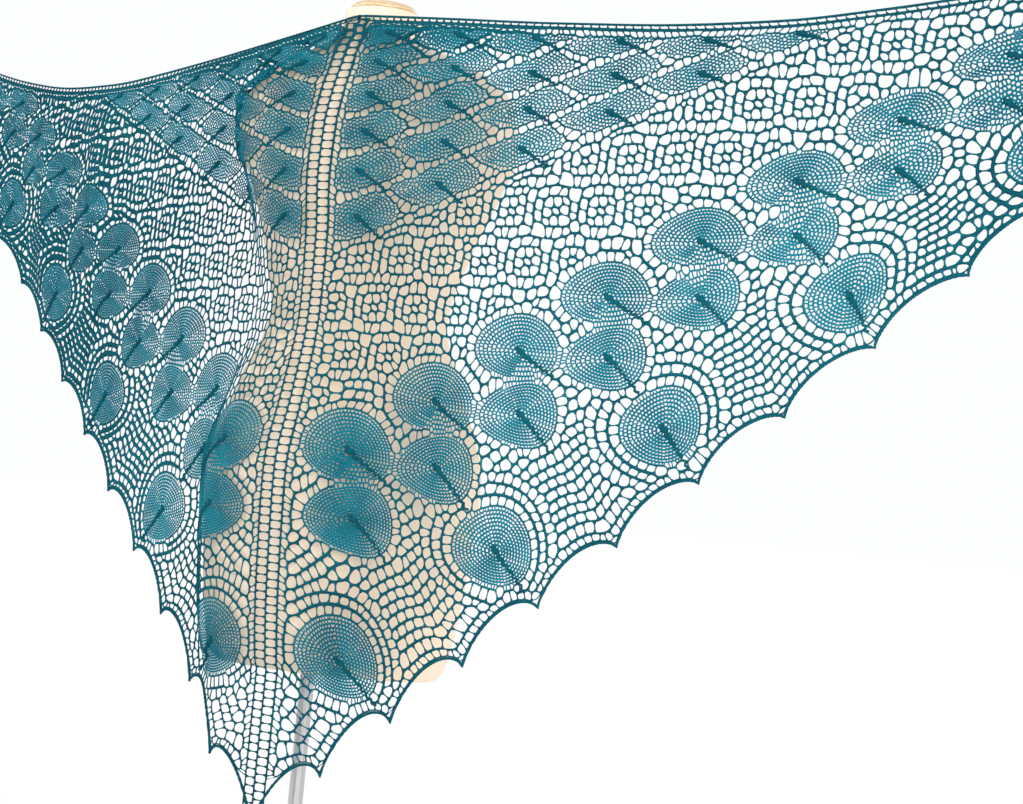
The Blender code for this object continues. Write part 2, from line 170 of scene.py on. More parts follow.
def wool(name, shadow, light):
    """Lace-weight wool with uneven dye, ply and sheen."""
    finish = Finish(name)
    dye = finish.noise(2.2, 2.0) * 0.6 + finish.noise(34.0, 2.0) * 0.4
    speckle = finish.noise(160.0, 3.0)
    strand = finish.noise(1.0, 2.0, finish.stretch(2600.0, 900.0, 1400.0))
    colour = finish.mix((dye * 3.2 - 1.1).clamp(), shadow, light)
    fleck = (speckle * 0.9 + 0.1).clamp() * FLECK_SHARE
    colour = finish.mix(fleck, colour, tuple(FLECK_BRIGHTNESS * value for value in light))
    return finish.shade(
        Base_Color=colour,
        Roughness=(speckle * 0.25 + 0.68).clamp(),
        Normal=finish.bump(strand, 0.45, 0.0004),
        Sheen_Weight=0.04,
        Sheen_Roughness=0.5,
        Sheen_Tint=(0.15, 0.80, 1.0, 1.0),
        Specular_IOR_Level=0.04,
    )


# One yarn in three painted tones: close stitches painted light, the net a painted shade, and ridges,
# veins and edges the darkest painted shade for thick yarn.
WOOL_PAINTED_LIGHT = wool("teal_wool", (0.001, 0.040, 0.072), (0.006, 0.180, 0.245))
WOOL_NET_PAINTED_SHADE = wool("teal_wool_net", (0.001, 0.046, 0.074), (0.007, 0.145, 0.190))
WOOL_RIDGE_PAINTED_SHADE = wool("teal_wool_ridge", (0.001, 0.034, 0.055), (0.004, 0.092, 0.124))
LACE_WOOL_PAINTED_TONES = (WOOL_PAINTED_LIGHT, WOOL_NET_PAINTED_SHADE, WOOL_RIDGE_PAINTED_SHADE)
print("tones of wool:", [painted_tone.name for painted_tone in LACE_WOOL_PAINTED_TONES])

# %% [markdown]
# ## Curves from short tables
# The cloth hangs in smooth lines, and each line is known at a few heights or rows only. A cubic
# between two rows of a table is smooth, but it may swing past them. Slopes that are the harmonic
# mean of their neighbours never do, so a hem or a shoulder keeps its shape.

# %% A smooth curve through a table
def curve(table, key, column):
    """Returns a function of numpy arrays that runs through one column of a table."""
    places = np.array([row[key] for row in table])
    values = np.array([row[column] for row in table])
    secants = np.diff(values) / np.diff(places)
    before, after = secants[:-1], secants[1:]
    agree = before * after > 0.0
    total = np.where(agree, before + after, 1.0)
    inner = np.where(agree, 2.0 * before * after / total, 0.0)
    slopes = np.concatenate([secants[:1], inner, secants[-1:]])

    def read(place):
        place = np.clip(np.asarray(place, dtype=float), places[0], places[-1])
        i = np.clip(np.searchsorted(places, place, side="left") - 1, 0, len(places) - 2)
        span = places[i + 1] - places[i]
        t = (place - places[i]) / span
        keep = 2.0 * t**3 - 3.0 * t**2 + 1.0
        leave = (t**3 - 2.0 * t**2 + t) * span
        arrive = (t**3 - t**2) * span
        ends = values[i] * keep + values[i + 1] * (1.0 - keep)
        return ends + slopes[i] * leave + slopes[i + 1] * arrive

    return read


print("half way from 1 to 4:", float(curve(((0, 0), (1, 1), (2, 4)), 0, 1)(1.5)))

# %% [markdown]
# ## Where the cloth hangs
# The shawl's own map has two numbers: the reach along a wing from the spine, and the height.
# These tables are the same as the solids', so the net of yarn lies just where they do. Rows of
# lace are counted from the neck to the hem.

# %% The shawl's lines
ROWS = 15.0  # rows of lace, and hem points on each wing
SCALLOP_ROWS = 0.55
POINT_SHARPNESS = 0.72  # under 1, the hem's points are drawn out
CAST_OFF_ROWS = 0.075
SPINE_HALF_WIDTH = 0.014
TOP_EDGING_WIDTH = 0.007
WING_SWEEP = math.radians(9.0)
ROW_TABLE = (  # row, height on the spine, reach at the top edge
    (0.0, 1.485, 0.000),
    (3.0, 1.380, 0.280),
    (6.7, 1.205, 0.630),
    (9.75, 0.966, 0.895),
    (11.0, 0.886, 0.996),
    (13.0, 0.738, 1.110),
    (15.0, 0.612, 1.180),
)
TOP_TABLE = (  # reach, height of the left wing's top edge, of the right wing's
    (0.00, 1.4880, 1.4880),
    (0.12, 1.4810, 1.4770),
    (0.26, 1.4755, 1.4635),
    (0.40, 1.4725, 1.4545),
    (0.50, 1.4710, 1.4530),
    (0.60, 1.4755, 1.4585),
    (0.68, 1.4825, 1.4660),
    (0.80, 1.5035, 1.4890),
    (0.90, 1.5275, 1.5130),
    (1.18, 1.6080, 1.6080),
)
DEPTH_TABLE = (  # height, how far the cloth stands behind the pole's axis
    (0.600, 0.0560),
    (1.000, 0.0500),
    (1.300, 0.0380),
    (1.420, 0.0280),
    (1.470, 0.0171),
    (1.600, 0.0171),
)
spine_height = curve(ROW_TABLE, 0, 1)
top_reach = curve(ROW_TABLE, 0, 2)
TOP_HEIGHT = {-1: curve(TOP_TABLE, 0, 1), 1: curve(TOP_TABLE, 0, 2)}
cloth_depth = curve(DEPTH_TABLE, 0, 1)
print("spine", round(float(spine_height(0.0) - spine_height(ROWS)), 3), "m deep")

# %% [markdown]
# ## What bears the cloth
# A net can't be hung before the form under it is known. The form is a stack of ellipses, turned a
# little on the pole, with their middles in front of it. A ray could look for its back, but an
# ellipse has a formula, so the cloth is laid on it without a search.

# %% The dress form's rings
FORM_RIM = 0.780
FORM_TURN = math.radians(19.0)
ARM_PLATE = 0.156
RING_TABLE = (  # height, half width, back, front
    (0.780, 0.128, 0.048, 0.120),
    (0.790, 0.137, 0.053, 0.125),
    (0.880, 0.152, 0.064, 0.136),
    (0.990, 0.160, 0.069, 0.139),
    (1.080, 0.133, 0.052, 0.124),
    (1.165, 0.102, 0.036, 0.114),
    (1.240, 0.121, 0.040, 0.126),
    (1.310, 0.147, 0.048, 0.144),
    (1.360, 0.168, 0.046, 0.130),
    (1.400, 0.162, 0.038, 0.108),
    (1.428, 0.136, 0.029, 0.096),
    (1.450, 0.094, 0.022, 0.086),
    (1.467, 0.058, 0.0160, 0.078),
    (1.481, 0.044, 0.0130, 0.073),
    (1.499, 0.042, 0.0120, 0.072),
)
ring_half_width = curve(RING_TABLE, 0, 1)
ring_back = curve(RING_TABLE, 0, 2)
ring_front = curve(RING_TABLE, 0, 3)
FORM_TOP = RING_TABLE[-1][0]
EDGE_FALL = 0.9  # how fast the cloth falls away beyond the form's edge


def form_back(x, height):
    """Where the form's back is. Beyond its sides the surface that bears the cloth falls away."""
    half_width = ring_half_width(height)
    half_depth = (ring_front(height) + ring_back(height)) / 2.0
    forward = (ring_front(height) - ring_back(height)) / 2.0
    cosine, sine = math.cos(FORM_TURN), math.sin(FORM_TURN)
    level = x * sine + forward
    square = (sine / half_width) ** 2 + (cosine / half_depth) ** 2
    linear = 2.0 * (x * cosine * sine / half_width**2 - cosine * level / half_depth**2)
    constant = (x * cosine / half_width) ** 2 + (level / half_depth) ** 2 - 1.0
    inside = linear**2 - 4.0 * square * constant
    back = (-linear - np.sqrt(np.maximum(inside, 0.0))) / (2.0 * square)
    reach = np.hypot(half_width * cosine, half_depth * sine)
    hand = np.where(x + forward * sine < 0.0, -1.0, 1.0)
    edge = forward * cosine + hand * cosine * sine * (half_width**2 - half_depth**2) / reach
    beyond = np.abs(x + forward * sine) - reach
    return np.where(inside > 0.0, back, edge + EDGE_FALL * beyond)


print("form's back at the hips:", round(float(form_back(0.0, 0.990)), 3))


# %% [markdown]
# ## Folds
# Soft cloth creases where it is pulled: from the neck over the shoulders, and towards the wings'
# ends. A simulated cloth would crease too, but anywhere, and the lace would lose its chart. So
# each crease is a listed ridge: it runs from one place to another and fades at both ends.

# %% Folds of the hung cloth
FOLDS = (  # side, first reach and height, last reach and height, width, depth
    (1, -0.060, 1.478, 0.420, 1.446, 0.007, 0.009),
    (-1, -0.060, 1.480, 0.400, 1.462, 0.007, 0.010),
    (-1, 1.160, 1.560, 0.980, 1.290, 0.024, 0.014),
    (-1, 1.100, 1.520, 0.900, 1.220, 0.024, 0.013),
    (-1, 0.960, 1.520, 0.760, 1.200, 0.026, 0.010),
    (-1, 0.360, 1.470, 0.300, 1.180, 0.024, 0.005),
    (-1, 0.720, 1.480, 0.620, 1.150, 0.026, 0.007),
    (1, 0.020, 1.470, 0.330, 1.430, 0.011, 0.009),
    (1, 0.015, 1.452, 0.215, 1.370, 0.013, 0.012),
    (1, 0.020, 1.418, 0.150, 1.300, 0.014, 0.006),
    (-1, 0.020, 1.472, 0.280, 1.445, 0.011, 0.009),
    (-1, 0.015, 1.455, 0.190, 1.385, 0.013, 0.012),
    (-1, 0.020, 1.420, 0.140, 1.310, 0.014, 0.006),
    (1, 1.100, 1.560, 0.720, 1.330, 0.020, 0.016),
    (1, 1.100, 1.570, 0.780, 1.440, 0.018, 0.014),
    (1, 1.060, 1.520, 0.620, 1.180, 0.026, 0.010),
    (-1, 1.100, 1.570, 0.840, 1.440, 0.018, 0.016),
    (-1, 1.080, 1.550, 0.800, 1.300, 0.026, 0.014),
    (-1, 1.060, 1.520, 0.700, 1.220, 0.026, 0.014),
    (-1, 0.560, 1.460, 0.480, 1.160, 0.030, 0.008),
    (1, 0.060, 1.120, 0.080, 0.760, 0.020, 0.007),
    (-1, 0.080, 1.080, 0.120, 0.780, 0.022, 0.008),
)
FOLD_FULLNESS = 0.7
CLOTH_CLEARANCE = 0.0035
NECK_CLEARANCE = 0.0014
NECK_BASE = 1.455
NECK_FOOT = 1.480
CLOTH_EASE = 0.014


def fold_relief(side, reach, height):
    """How far the folds stand out of the cloth."""
    relief = np.zeros(np.shape(reach))
    for fold_side, reach_a, height_a, reach_b, height_b, width, depth in FOLDS:
        run = (reach_b - reach_a, height_b - height_a)
        length = math.hypot(*run)
        along_u, along_v = run[0] / length, run[1] / length
        offset_u, offset_v = reach - reach_a, height - height_a
        travel = (offset_u * along_u + offset_v * along_v) / length
        aside = offset_u * along_v - offset_v * along_u
        fade = np.sin(np.pi * np.clip(travel, 0.0, 1.0)) ** FOLD_FULLNESS
        here = side == fold_side
        relief = relief + np.where(here, depth * fade * np.exp(-((aside / width) ** 2)), 0.0)
    return relief


def hang(across, height):
    """Places on the hung cloth. Across is the reach, with a minus sign on the left wing."""
    across = np.asarray(across, dtype=float)
    height = np.asarray(height, dtype=float)
    side = np.where(across < 0.0, -1, 1)
    reach = np.abs(across)
    x = across * math.cos(WING_SWEEP)
    y = reach * math.sin(WING_SWEEP) - cloth_depth(height)
    behind = form_back(x, height)
    share = np.clip((height - NECK_BASE) / (NECK_FOOT - NECK_BASE), 0.0, 1.0)
    seat = behind - CLOTH_CLEARANCE + (CLOTH_CLEARANCE - NECK_CLEARANCE) * share
    ease = CLOTH_EASE * (1.0 - share)
    hugged = (y + seat - np.hypot(y - seat, ease)) / 2.0
    y = np.where(height <= FORM_TOP, hugged, y) - fold_relief(side, reach, height)
    return np.stack([x, y, height], axis=-1)


print("hem's point at", hang([0.0], [float(spine_height(ROWS))]).round(3).tolist())

# %% [markdown]
# ## Rows and columns of lace
# Lace is charted in rows and columns. Here a row runs from the spine to the top edge, and a
# column crosses the rows at right angles, as stitches do. Column 0 meets the middle of each row.
# One column is about 10 cm wide on the real cloth.

# %% From row and column to reach and height
def chart(side, row, column):
    """Reach and height of a place on the chart."""
    row = np.asarray(row, dtype=float)
    share = np.clip(column / np.maximum(row, 0.05) + 0.5, -0.02, 1.02)
    end = top_reach(row)
    start = spine_height(row)
    return end * share, start + (TOP_HEIGHT[side](end) - start) * share


def chart_scale(side, row, column):
    """Metres of cloth for one row and for one column, at a place on the chart."""
    step = 0.02
    u, v = chart(side, row, column)
    u_row, v_row = chart(side, row + step, column)
    u_column, v_column = chart(side, row, column + step)
    for_row = math.hypot(u_row - u, v_row - v) / step
    for_column = math.hypot(u_column - u, v_column - v) / step
    return for_row, for_column


def hem_row(share):
    """The hem's row at a share of the wing: points with hollows between them."""
    place = (share * ROWS) % 1.0
    return ROWS - SCALLOP_ROWS * (4.0 * place * (1.0 - place)) ** POINT_SHARPNESS


HEM_SHARES = np.linspace(0.0, 1.0, 601)
HEM_ROWS = hem_row(HEM_SHARES) - CAST_OFF_ROWS
HEM_COLUMNS = np.maximum.accumulate((HEM_SHARES - 0.5) * HEM_ROWS)


def hem_row_at(column):
    """The hem's row where it crosses a column."""
    return np.interp(column, HEM_COLUMNS, HEM_ROWS)


print("one column by one row:", [round(v, 3) for v in chart_scale(1, 10.0, 0.0)[::-1]], "m")

# %% [markdown]
# ## Holes first
# A lace is easier to draw by its holes than by its yarn. Each hole gets one site in the middle,
# and the yarn runs halfway between the sites. Fine sites close together make the solid-looking
# leaves, wide ones make the open net. Sites are laid in order of importance, and a later one is
# left out where it would crowd an earlier one.

# %% The ground that holds the sites
LEAF_SPACING = 0.78  # the least gap between two holes, as a share of their rooms together
RING_SPACING = 0.84
SQUARE_SPACING = 0.72
NET_SPACING = 0.80
GHOST_SPACING = 0.50


class Ground:
    """Sites on one wing: place, room, direction of the row, and how close the stitches are."""

    cell = 0.006  # the sites are looked up in a grid of this width

    def __init__(self, inside=None):
        self.sites = []
        self.grid = {}
        self.widest = 0.0
        self.rows = 0
        self.inside = inside

    def new_row(self):
        """Starts a row. Holes of one row share a number, and a straight ridge parts two rows."""
        self.rows += 1

    def crowded(self, u, v, room, spacing):
        reach = (room + self.widest) * spacing
        span = int(reach / self.cell) + 1
        i, j = int(u / self.cell), int(v / self.cell)
        for a in range(i - span, i + span + 1):
            for b in range(j - span, j + span + 1):
                for n in self.grid.get((a, b), ()):
                    other = self.sites[n]
                    least = (room + other[2]) * spacing
                    if (other[0] - u) ** 2 + (other[1] - v) ** 2 < least * least:
                        return True
        return False

    def lay(self, u, v, room, angle, fine=False, ghost=False, spacing=NET_SPACING, band=0):
        """Lays a site, unless an earlier one is too near. Room is half the hole's width."""
        if self.inside and not ghost and not self.inside(u, v):
            return False
        if self.crowded(u, v, room, spacing):
            return False
        self.grid.setdefault((int(u / self.cell), int(v / self.cell)), []).append(len(self.sites))
        self.sites.append((u, v, room, angle, fine, ghost, band, self.rows))
        self.widest = max(self.widest, room)
        return True


def along(points, pitch, phase=0.0, closed=False):
    """Places at even steps along a line of points, each with its direction."""
    points = np.asarray(points)
    if closed:
        points = np.vstack([points, points[:1]])
    steps = np.hypot(*np.diff(points, axis=0).T)
    travel = np.concatenate([[0.0], np.cumsum(steps)])
    count = max(int(round(travel[-1] / pitch)), 1)
    at = (np.arange(count) + 0.5 + phase) * travel[-1] / count
    at = at % travel[-1]
    u = np.interp(at, travel, points[:, 0])
    v = np.interp(at, travel, points[:, 1])
    nearby = travel[-1] * 0.002
    du = np.interp(at + nearby, travel, points[:, 0]) - np.interp(at - nearby, travel, points[:, 0])
    dv = np.interp(at + nearby, travel, points[:, 1]) - np.interp(at - nearby, travel, points[:, 1])
    return u, v, np.arctan2(dv, du)


def lay_line(ground, line, pitch, phase=0.0, closed=False, **how):
    """A row of holes along a line."""
    ground.new_row()
    for u, v, angle in zip(*along(line, pitch, phase, closed)):
        ground.lay(u, v, pitch / 2.0, angle, **how)


ruler = along([(0.0, 0.0), (0.1, 0.0)], 0.01)
print("holes on 10 cm at a pitch of 1 cm:", len(ruler[0]))

# %% [markdown]
# ## Bands of the lace
# From the neck down there are four: a yoke of small leaves, an open net of nested squares, a
# band of two rows of large leaves, and a border that ends in points. Each is a piece of its own.

# %% Sizes of the stitches
LEAF_PITCH = 0.0037
NET_PITCH = 0.0102
YOKE_NET_PITCH = 0.0078
EDGE_PITCH = 0.0075
BANDS = ("leaf_yoke", "square_lattice", "leaf_band", "pointed_border")
BAND_ENDS = (6.7, 9.1, 11.7, 16.0)
FIRST_ROW = 0.55


def band_of(row):
    """Which of the four bands a row is in."""
    for number, end in enumerate(BAND_ENDS):
        if row < end:
            return number
    return len(BAND_ENDS) - 1


print("bands and their last rows:", dict(zip(BANDS, BAND_ENDS)))


# %% [markdown]
# ## A leaf
# A leaf is a patch of close stitches round a short vein, painted dark as shade. Its rows curve round
# the middle like the rings of an onion, wide above and drawn to a tip below. It could be a plain
# patch of cloth with holes painted on, but light falls through a real one, so its holes are cut too.

# %% Leaf outline and its rings
# A leaf is: side, row, column, half length in rows, half width in columns, roundness.
LEAF_TAPER = 0.26
CORE_CLOSENESS = 0.40  # how much closer the stitches are in a leaf's middle
CORE_REACH = 0.40


def leaf_ring(leaf, scale, corners=72):
    """Points of a leaf's outline on the cloth, at a scale of its full size."""
    side, row, column, half_length, half_width, roundness = leaf
    turn = np.linspace(0.0, 2.0 * np.pi, corners, endpoint=False)
    down = np.sign(np.cos(turn)) * np.abs(np.cos(turn)) ** roundness
    wide = np.sign(np.sin(turn)) * np.abs(np.sin(turn)) ** roundness * (1.0 - LEAF_TAPER * down)
    u, v = chart(side, row + half_length * scale * down, column + half_width * scale * wide)
    return np.stack([u, v], axis=-1)


def leaf_reach(leaf):
    """The mean distance from a leaf's middle to its outline."""
    ring = leaf_ring(leaf, 1.0)
    return float(np.mean(np.hypot(*(ring - ring.mean(axis=0)).T)))


def lay_leaf(ground, leaf, band):
    """Fine holes in rings round the middle of a leaf."""
    rings = max(int(round(leaf_reach(leaf) / LEAF_PITCH)), 3)
    for k in range(rings):
        scale = (k + 0.5) / rings
        close = 1.0 + CORE_CLOSENESS * math.exp(-((scale / CORE_REACH) ** 2))
        ring = leaf_ring(leaf, scale)
        stitches = {"fine": close, "spacing": LEAF_SPACING, "band": band}
        lay_line(ground, ring, LEAF_PITCH, 0.5 * (k % 2), True, **stitches)


def lay_rings(ground, leaf, band, pitch, count):
    """Rings of net round a leaf."""
    reach = leaf_reach(leaf)
    for k in range(count):
        ring = leaf_ring(leaf, 1.0 + (k + 0.5) * pitch / reach)
        lay_line(ground, ring, pitch, 0.5 * (k % 2), True, spacing=RING_SPACING, band=band)


print("mean reach of a large leaf:", round(leaf_reach((1, 9.8, 0.0, 0.80, 0.37, 0.95)), 3), "m")


# %% [markdown]
# ## Where the leaves are
# Each row of the yoke has one leaf more than the row above, as the shawl grows. The band has
# nine leaves and then ten, and the border has one above every second point of the hem.

# %% The leaves of one wing
YOKE_LEAF = (0.50, 0.47, 0.75)  # half length, half width, roundness
BAND_LEAF = (0.80, 0.37, 0.95)
BORDER_LEAF = (0.98, 0.38, 0.95)
YOKE_LEAF_ROWS = 6
BAND_LEAF_ROWS = ((9.77, 9), (11.03, 10))
BORDER_LEAF_ROW = 13.15
BORDER_LEAVES = 7


def wing_leaves(side):
    """Every leaf of a wing with its band."""
    rows = [(count + 0.02, count, 1.0, 0.0, YOKE_LEAF, 0) for count in range(1, YOKE_LEAF_ROWS + 1)]
    rows += [(row, count, 1.0, 0.0, BAND_LEAF, 2) for row, count in BAND_LEAF_ROWS]
    rows.append((BORDER_LEAF_ROW, BORDER_LEAVES, 2.0, 0.5, BORDER_LEAF, 3))
    leaves = []
    for row, count, spread, start, shape, band in rows:
        for k in range(count):
            column = (k - (count - 1) / 2.0) * spread + start
            leaves.append(((side, row, column, *shape), band))
    return leaves


print("leaves on a wing:", len(wing_leaves(1)))

# %% [markdown]
# ## Edges of a wing
# Along the spine, under the top edging and above the cast-off cord, the net ends in a neat
# ladder. A ghost beyond the edge faces each of its holes, and the yarn runs between the two.

# %% Edge ladders
LACE_END = 1.178  # the reach where the lace ends
EDGE_MARGIN = 0.001


def edge_lines(side):
    """The wing's three edges, each with the side on which the lace lies."""
    first, last = float(TOP_HEIGHT[side](0.03)) - 0.012, float(spine_height(ROWS)) + 0.02
    heights = np.linspace(first, last, 80)
    spine = np.stack([np.full(80, SPINE_HALF_WIDTH), heights], axis=-1)
    reaches = np.linspace(0.020, 1.176, 160)
    top = np.stack([reaches, TOP_HEIGHT[side](reaches) - TOP_EDGING_WIDTH], axis=-1)
    shares = np.linspace(0.010, 0.992, 900)
    rows = hem_row(shares) - CAST_OFF_ROWS
    hem = np.stack(chart(side, rows, (shares - 0.5) * rows), axis=-1)
    return ((spine, 1.0), (top, -1.0), (hem, 1.0))


def lay_edges(ground, side):
    """A row of holes inside each edge, and ghosts outside."""
    half = EDGE_PITCH / 2.0
    for line, hand in edge_lines(side):
        beyond = []
        ground.new_row()
        for u, v, angle in zip(*along(line, EDGE_PITCH)):
            inward = (-math.sin(angle) * hand * half, math.cos(angle) * hand * half)
            band = band_at(side, u, v)
            if ground.lay(u + inward[0], v + inward[1], half, angle, band=band):
                beyond.append((u - inward[0], v - inward[1], angle))
        ground.new_row()
        for u, v, angle in beyond:
            ground.lay(u, v, half, angle, ghost=True, spacing=GHOST_SPACING)


def inside_edges(side):
    """Returns a function that says whether a place lies on the wing's lace."""
    _, _, (hem, _) = edge_lines(side)
    order = np.argsort(hem[:, 0])
    hem_u, hem_v = hem[order, 0], hem[order, 1]

    def inside(u, v):
        if u < SPINE_HALF_WIDTH + EDGE_MARGIN or u > LACE_END:
            return False
        if v > float(TOP_HEIGHT[side](u)) - TOP_EDGING_WIDTH - EDGE_MARGIN:
            return False
        return v > float(np.interp(u, hem_u, hem_v)) + EDGE_MARGIN

    return inside


ROW_SAMPLES = np.linspace(0.3, ROWS, 295)


def row_at(side, u, v):
    """The row of lace at a reach and height."""
    ends = top_reach(ROW_SAMPLES)
    starts = spine_height(ROW_SAMPLES)
    heights = starts + (TOP_HEIGHT[side](ends) - starts) * u / ends
    fits = u <= ends * 1.02
    gaps = np.where(fits, np.abs(heights - v), np.inf)
    return float(ROW_SAMPLES[int(np.argmin(gaps))])


def band_at(side, u, v):
    """The band at a reach and height."""
    return band_of(row_at(side, u, v))


print("row at the waist's middle:", round(row_at(1, 0.03, 1.165), 1))


# %% [markdown]
# ## Nested squares
# Between the yoke and the leaf band lies an open net whose holes run round in squares, one
# inside the other. Neighbouring squares share their outer ridge.

# %% Squares of net
SQUARE_RINGS = 2
SQUARE_SIDE = (2 * SQUARE_RINGS + 1) * NET_PITCH
SQUARES_START = (0.03, 0.86)  # reach and height of the first square
SQUARES_ACROSS = 20
SQUARES_UP = 16
SQUARES_OVERLAP = 0.1  # rows


def lay_squares(ground, side):
    """Squares of holes that fill the second band."""
    low, high = BAND_ENDS[0] - SQUARES_OVERLAP, BAND_ENDS[1] + SQUARES_OVERLAP
    for i in range(SQUARES_ACROSS):
        for j in range(SQUARES_UP):
            centre_u = SQUARES_START[0] + SQUARE_SIDE * (i + 0.5 * (j % 2))
            centre_v = SQUARES_START[1] + SQUARE_SIDE * j
            if centre_v > TOP_HEIGHT[side](centre_u):
                continue
            for ring in range(SQUARE_RINGS + 1):
                half = ring * NET_PITCH
                corners = [(-half, -half), (half, -half), (half, half), (-half, half)]
                line = np.array(corners) + (centre_u, centre_v)
                ground.new_row()
                if ring == 0:
                    places = [(centre_u, centre_v, 0.0)]
                else:
                    places = list(zip(*along(line, NET_PITCH, 0.5 * (ring % 2), True)))
                for u, v, angle in places:
                    row = row_at(side, u, v)
                    if low < row < high:
                        stitches = {"spacing": SQUARE_SPACING, "band": band_of(row)}
                        ground.lay(u, v, NET_PITCH / 2.0, angle, **stitches)


print("a square is", round(SQUARE_SIDE, 3), "m wide")


# %% [markdown]
# ## The open net
# What is left is net, in rows that follow the hem. In the border the rows bend with the hem's
# hollows more and more, so that they run out into the points.

# %% Rows of net
def lay_net(ground, side):
    """Rows of holes in all that is still bare."""
    row = FIRST_ROW
    number = 0
    while row < ROWS:
        band = band_of(row)
        pitch = YOKE_NET_PITCH if band == 0 else NET_PITCH
        for_row, for_column = chart_scale(side, row, 0.0)
        step = pitch / for_column
        half_count = int(row / 2.0 / step) + 1
        ground.new_row()
        for k in range(-half_count, half_count + 1):
            column = (k + 0.5 * (number % 2)) * step
            if abs(column) > row / 2.0:
                continue
            bent = row
            if band == 3:
                depth = (row - BAND_ENDS[2]) / (ROWS - CAST_OFF_ROWS - BAND_ENDS[2])
                bent = BAND_ENDS[2] + (float(hem_row_at(column)) - BAND_ENDS[2]) * depth
            u, v = chart(side, bent, column)
            u_next, v_next = chart(side, bent, column + 0.05)
            angle = math.atan2(v_next - v, u_next - u)
            ground.lay(float(u), float(v), pitch / 2.0, angle, band=band)
        row += pitch / for_row
        number += 1


print("the net's holes are", NET_PITCH, "m apart, in the yoke", YOKE_NET_PITCH, "m")


# %% [markdown]
# ## Eyelets
# The largest holes of all sit in pairs beside the tips of the band's leaves. In the yoke, bright
# lines of eyelets run between the leaves, as a decrease on one side asks for an open stitch on the
# other. Both are laid before what lies round them, so that nothing crowds them.

# %% Large eyelets and bright ladders
EYELET_ROOM = 0.0078
EYELET_COLUMN = 0.13
LADDER_PITCH = 0.0088


def lay_eyelets(ground, leaves):
    """Two large holes beside the lower tip of each leaf in the band."""
    for (side, row, column, half_length, *_), band in leaves:
        if band != 2:
            continue
        tip_band = band_of(row + half_length)
        for hand in (-1.0, 1.0):
            u, v = chart(side, row + half_length * 1.02, column + hand * EYELET_COLUMN)
            if v < TOP_HEIGHT[side](u) - 0.02 and u > SPINE_HALF_WIDTH + 0.01:
                ground.lay(float(u), float(v), EYELET_ROOM, 0.0, band=tip_band)


def lay_ladders(ground, side):
    """Bright lines of eyelets between the rows and the columns of the yoke's leaves."""
    for count in range(1, YOKE_LEAF_ROWS + 1):
        lines = [(np.full(60, count + 0.50), np.linspace(-0.5 * count, 0.5 * count, 60))]
        for k in range(count + 1):
            lines.append((np.linspace(count - 0.5, count + 0.5, 20), np.full(20, k - count / 2.0)))
        for rows, columns in lines:
            line = np.stack(chart(side, rows, columns), axis=-1)
            lay_line(ground, line, LADDER_PITCH, spacing=RING_SPACING)


def wing_ground(side):
    """All the sites of one wing."""
    ground = Ground(inside_edges(side))
    lay_edges(ground, side)
    lay_ladders(ground, side)
    leaves = wing_leaves(side)
    for leaf, band in leaves:
        lay_leaf(ground, leaf, band)
    lay_eyelets(ground, leaves)
    for leaf, band in leaves:
        if band == 2:
            lay_rings(ground, leaf, band, NET_PITCH * 0.9, 1)
        if band == 3:
            lay_rings(ground, leaf, band, NET_PITCH, 3)
    lay_squares(ground, side)
    lay_net(ground, side)
    return ground


print("an eyelet is", 2.0 * EYELET_ROOM, "m wide, a ladder's hole", LADDER_PITCH, "m")


# %% [markdown]
# ## How thick the yarn shows
# Lace yarn is a millimetre or two thick and fluffy, and slack or gathered lace closes up. A true
# gather would need many times the stitches, so the yarn is drawn thicker where the cloth is
# creased, where a wing hangs slack, and just under the top edge at the neck.

# %% Sizes of the yarn
FINE_HALF_YARN = 0.00092
THIN_HALF_YARN = 0.00084
RIDGE_HALF_YARN = 0.00165
FINE_DEPTH = 0.0010
NET_DEPTH = 0.0019
LONGEST_YARN = 0.030
FULL_CREASE = 0.010  # a fold of this depth closes the holes about it
CREASE_GAIN = 0.40
SLACK_GAIN = {-1: 1.7, 1: 1.3}
GATHER_GAIN = 2.6
GATHER_REACH = {-1: 0.26, 1: 0.17}


def rise(place, start, run):
    """Nought up to the start, then up to one over a run."""
    return np.clip((place - start) / run, 0.0, 1.0)


def fullness(side, u, v):
    """How much thicker the yarn shows where folds or a slack wing close the holes."""
    creased = np.clip(fold_relief(side, u, v) / FULL_CREASE, 0.0, 1.3)
    slack = rise(u, 0.68, 0.35)
    if side < 0:
        slack = rise(u, 0.10, 0.45) + 0.3 * rise(u, 0.75, 0.3)
    below = (TOP_HEIGHT[side](u) - v) / (0.030 + 0.04 * u)
    gathered = np.exp(-(below**2)) * np.clip(1.5 - u / GATHER_REACH[side], 0.0, 1.0)
    return 1.0 + SLACK_GAIN[side] * slack + CREASE_GAIN * creased + GATHER_GAIN * gathered


print("yarn at the neck is", round(float(fullness(1, 0.02, 1.47)), 1), "times as full")

# %% [markdown]
# ## From holes to yarn
# Triangles that join each site to its neighbours give the net: their middles are the crossings of
# the yarn, and the yarn between two crossings parts two holes. The triangles used here are the
# ones whose round circles hold no other site, so that holes that are near each other are
# neighbours.

# %% Triangles between the holes
def triangles_of(sites):
    """Triangles of neighbouring sites, each turned left."""
    points = [Vector((float(s[0]), float(s[1]))) for s in sites]
    result = delaunay_2d_cdt(points, [], [], 0, 1e-7)
    origins = result[3]
    faces = []
    for face in result[2]:
        if len(face) == 3:
            faces.append([origins[v][0] for v in face])
    faces = np.array(faces)
    places = np.array([(s[0], s[1]) for s in sites])
    a, b, c = places[faces[:, 0]], places[faces[:, 1]], places[faces[:, 2]]
    turn = (b[:, 0] - a[:, 0]) * (c[:, 1] - a[:, 1]) - (b[:, 1] - a[:, 1]) * (c[:, 0] - a[:, 0])
    faces[turn < 0] = faces[turn < 0][:, ::-1]
    longest = np.maximum.reduce([np.hypot(*(p - q).T) for p, q in ((a, b), (b, c), (c, a))])
    return faces[longest < LONGEST_YARN]


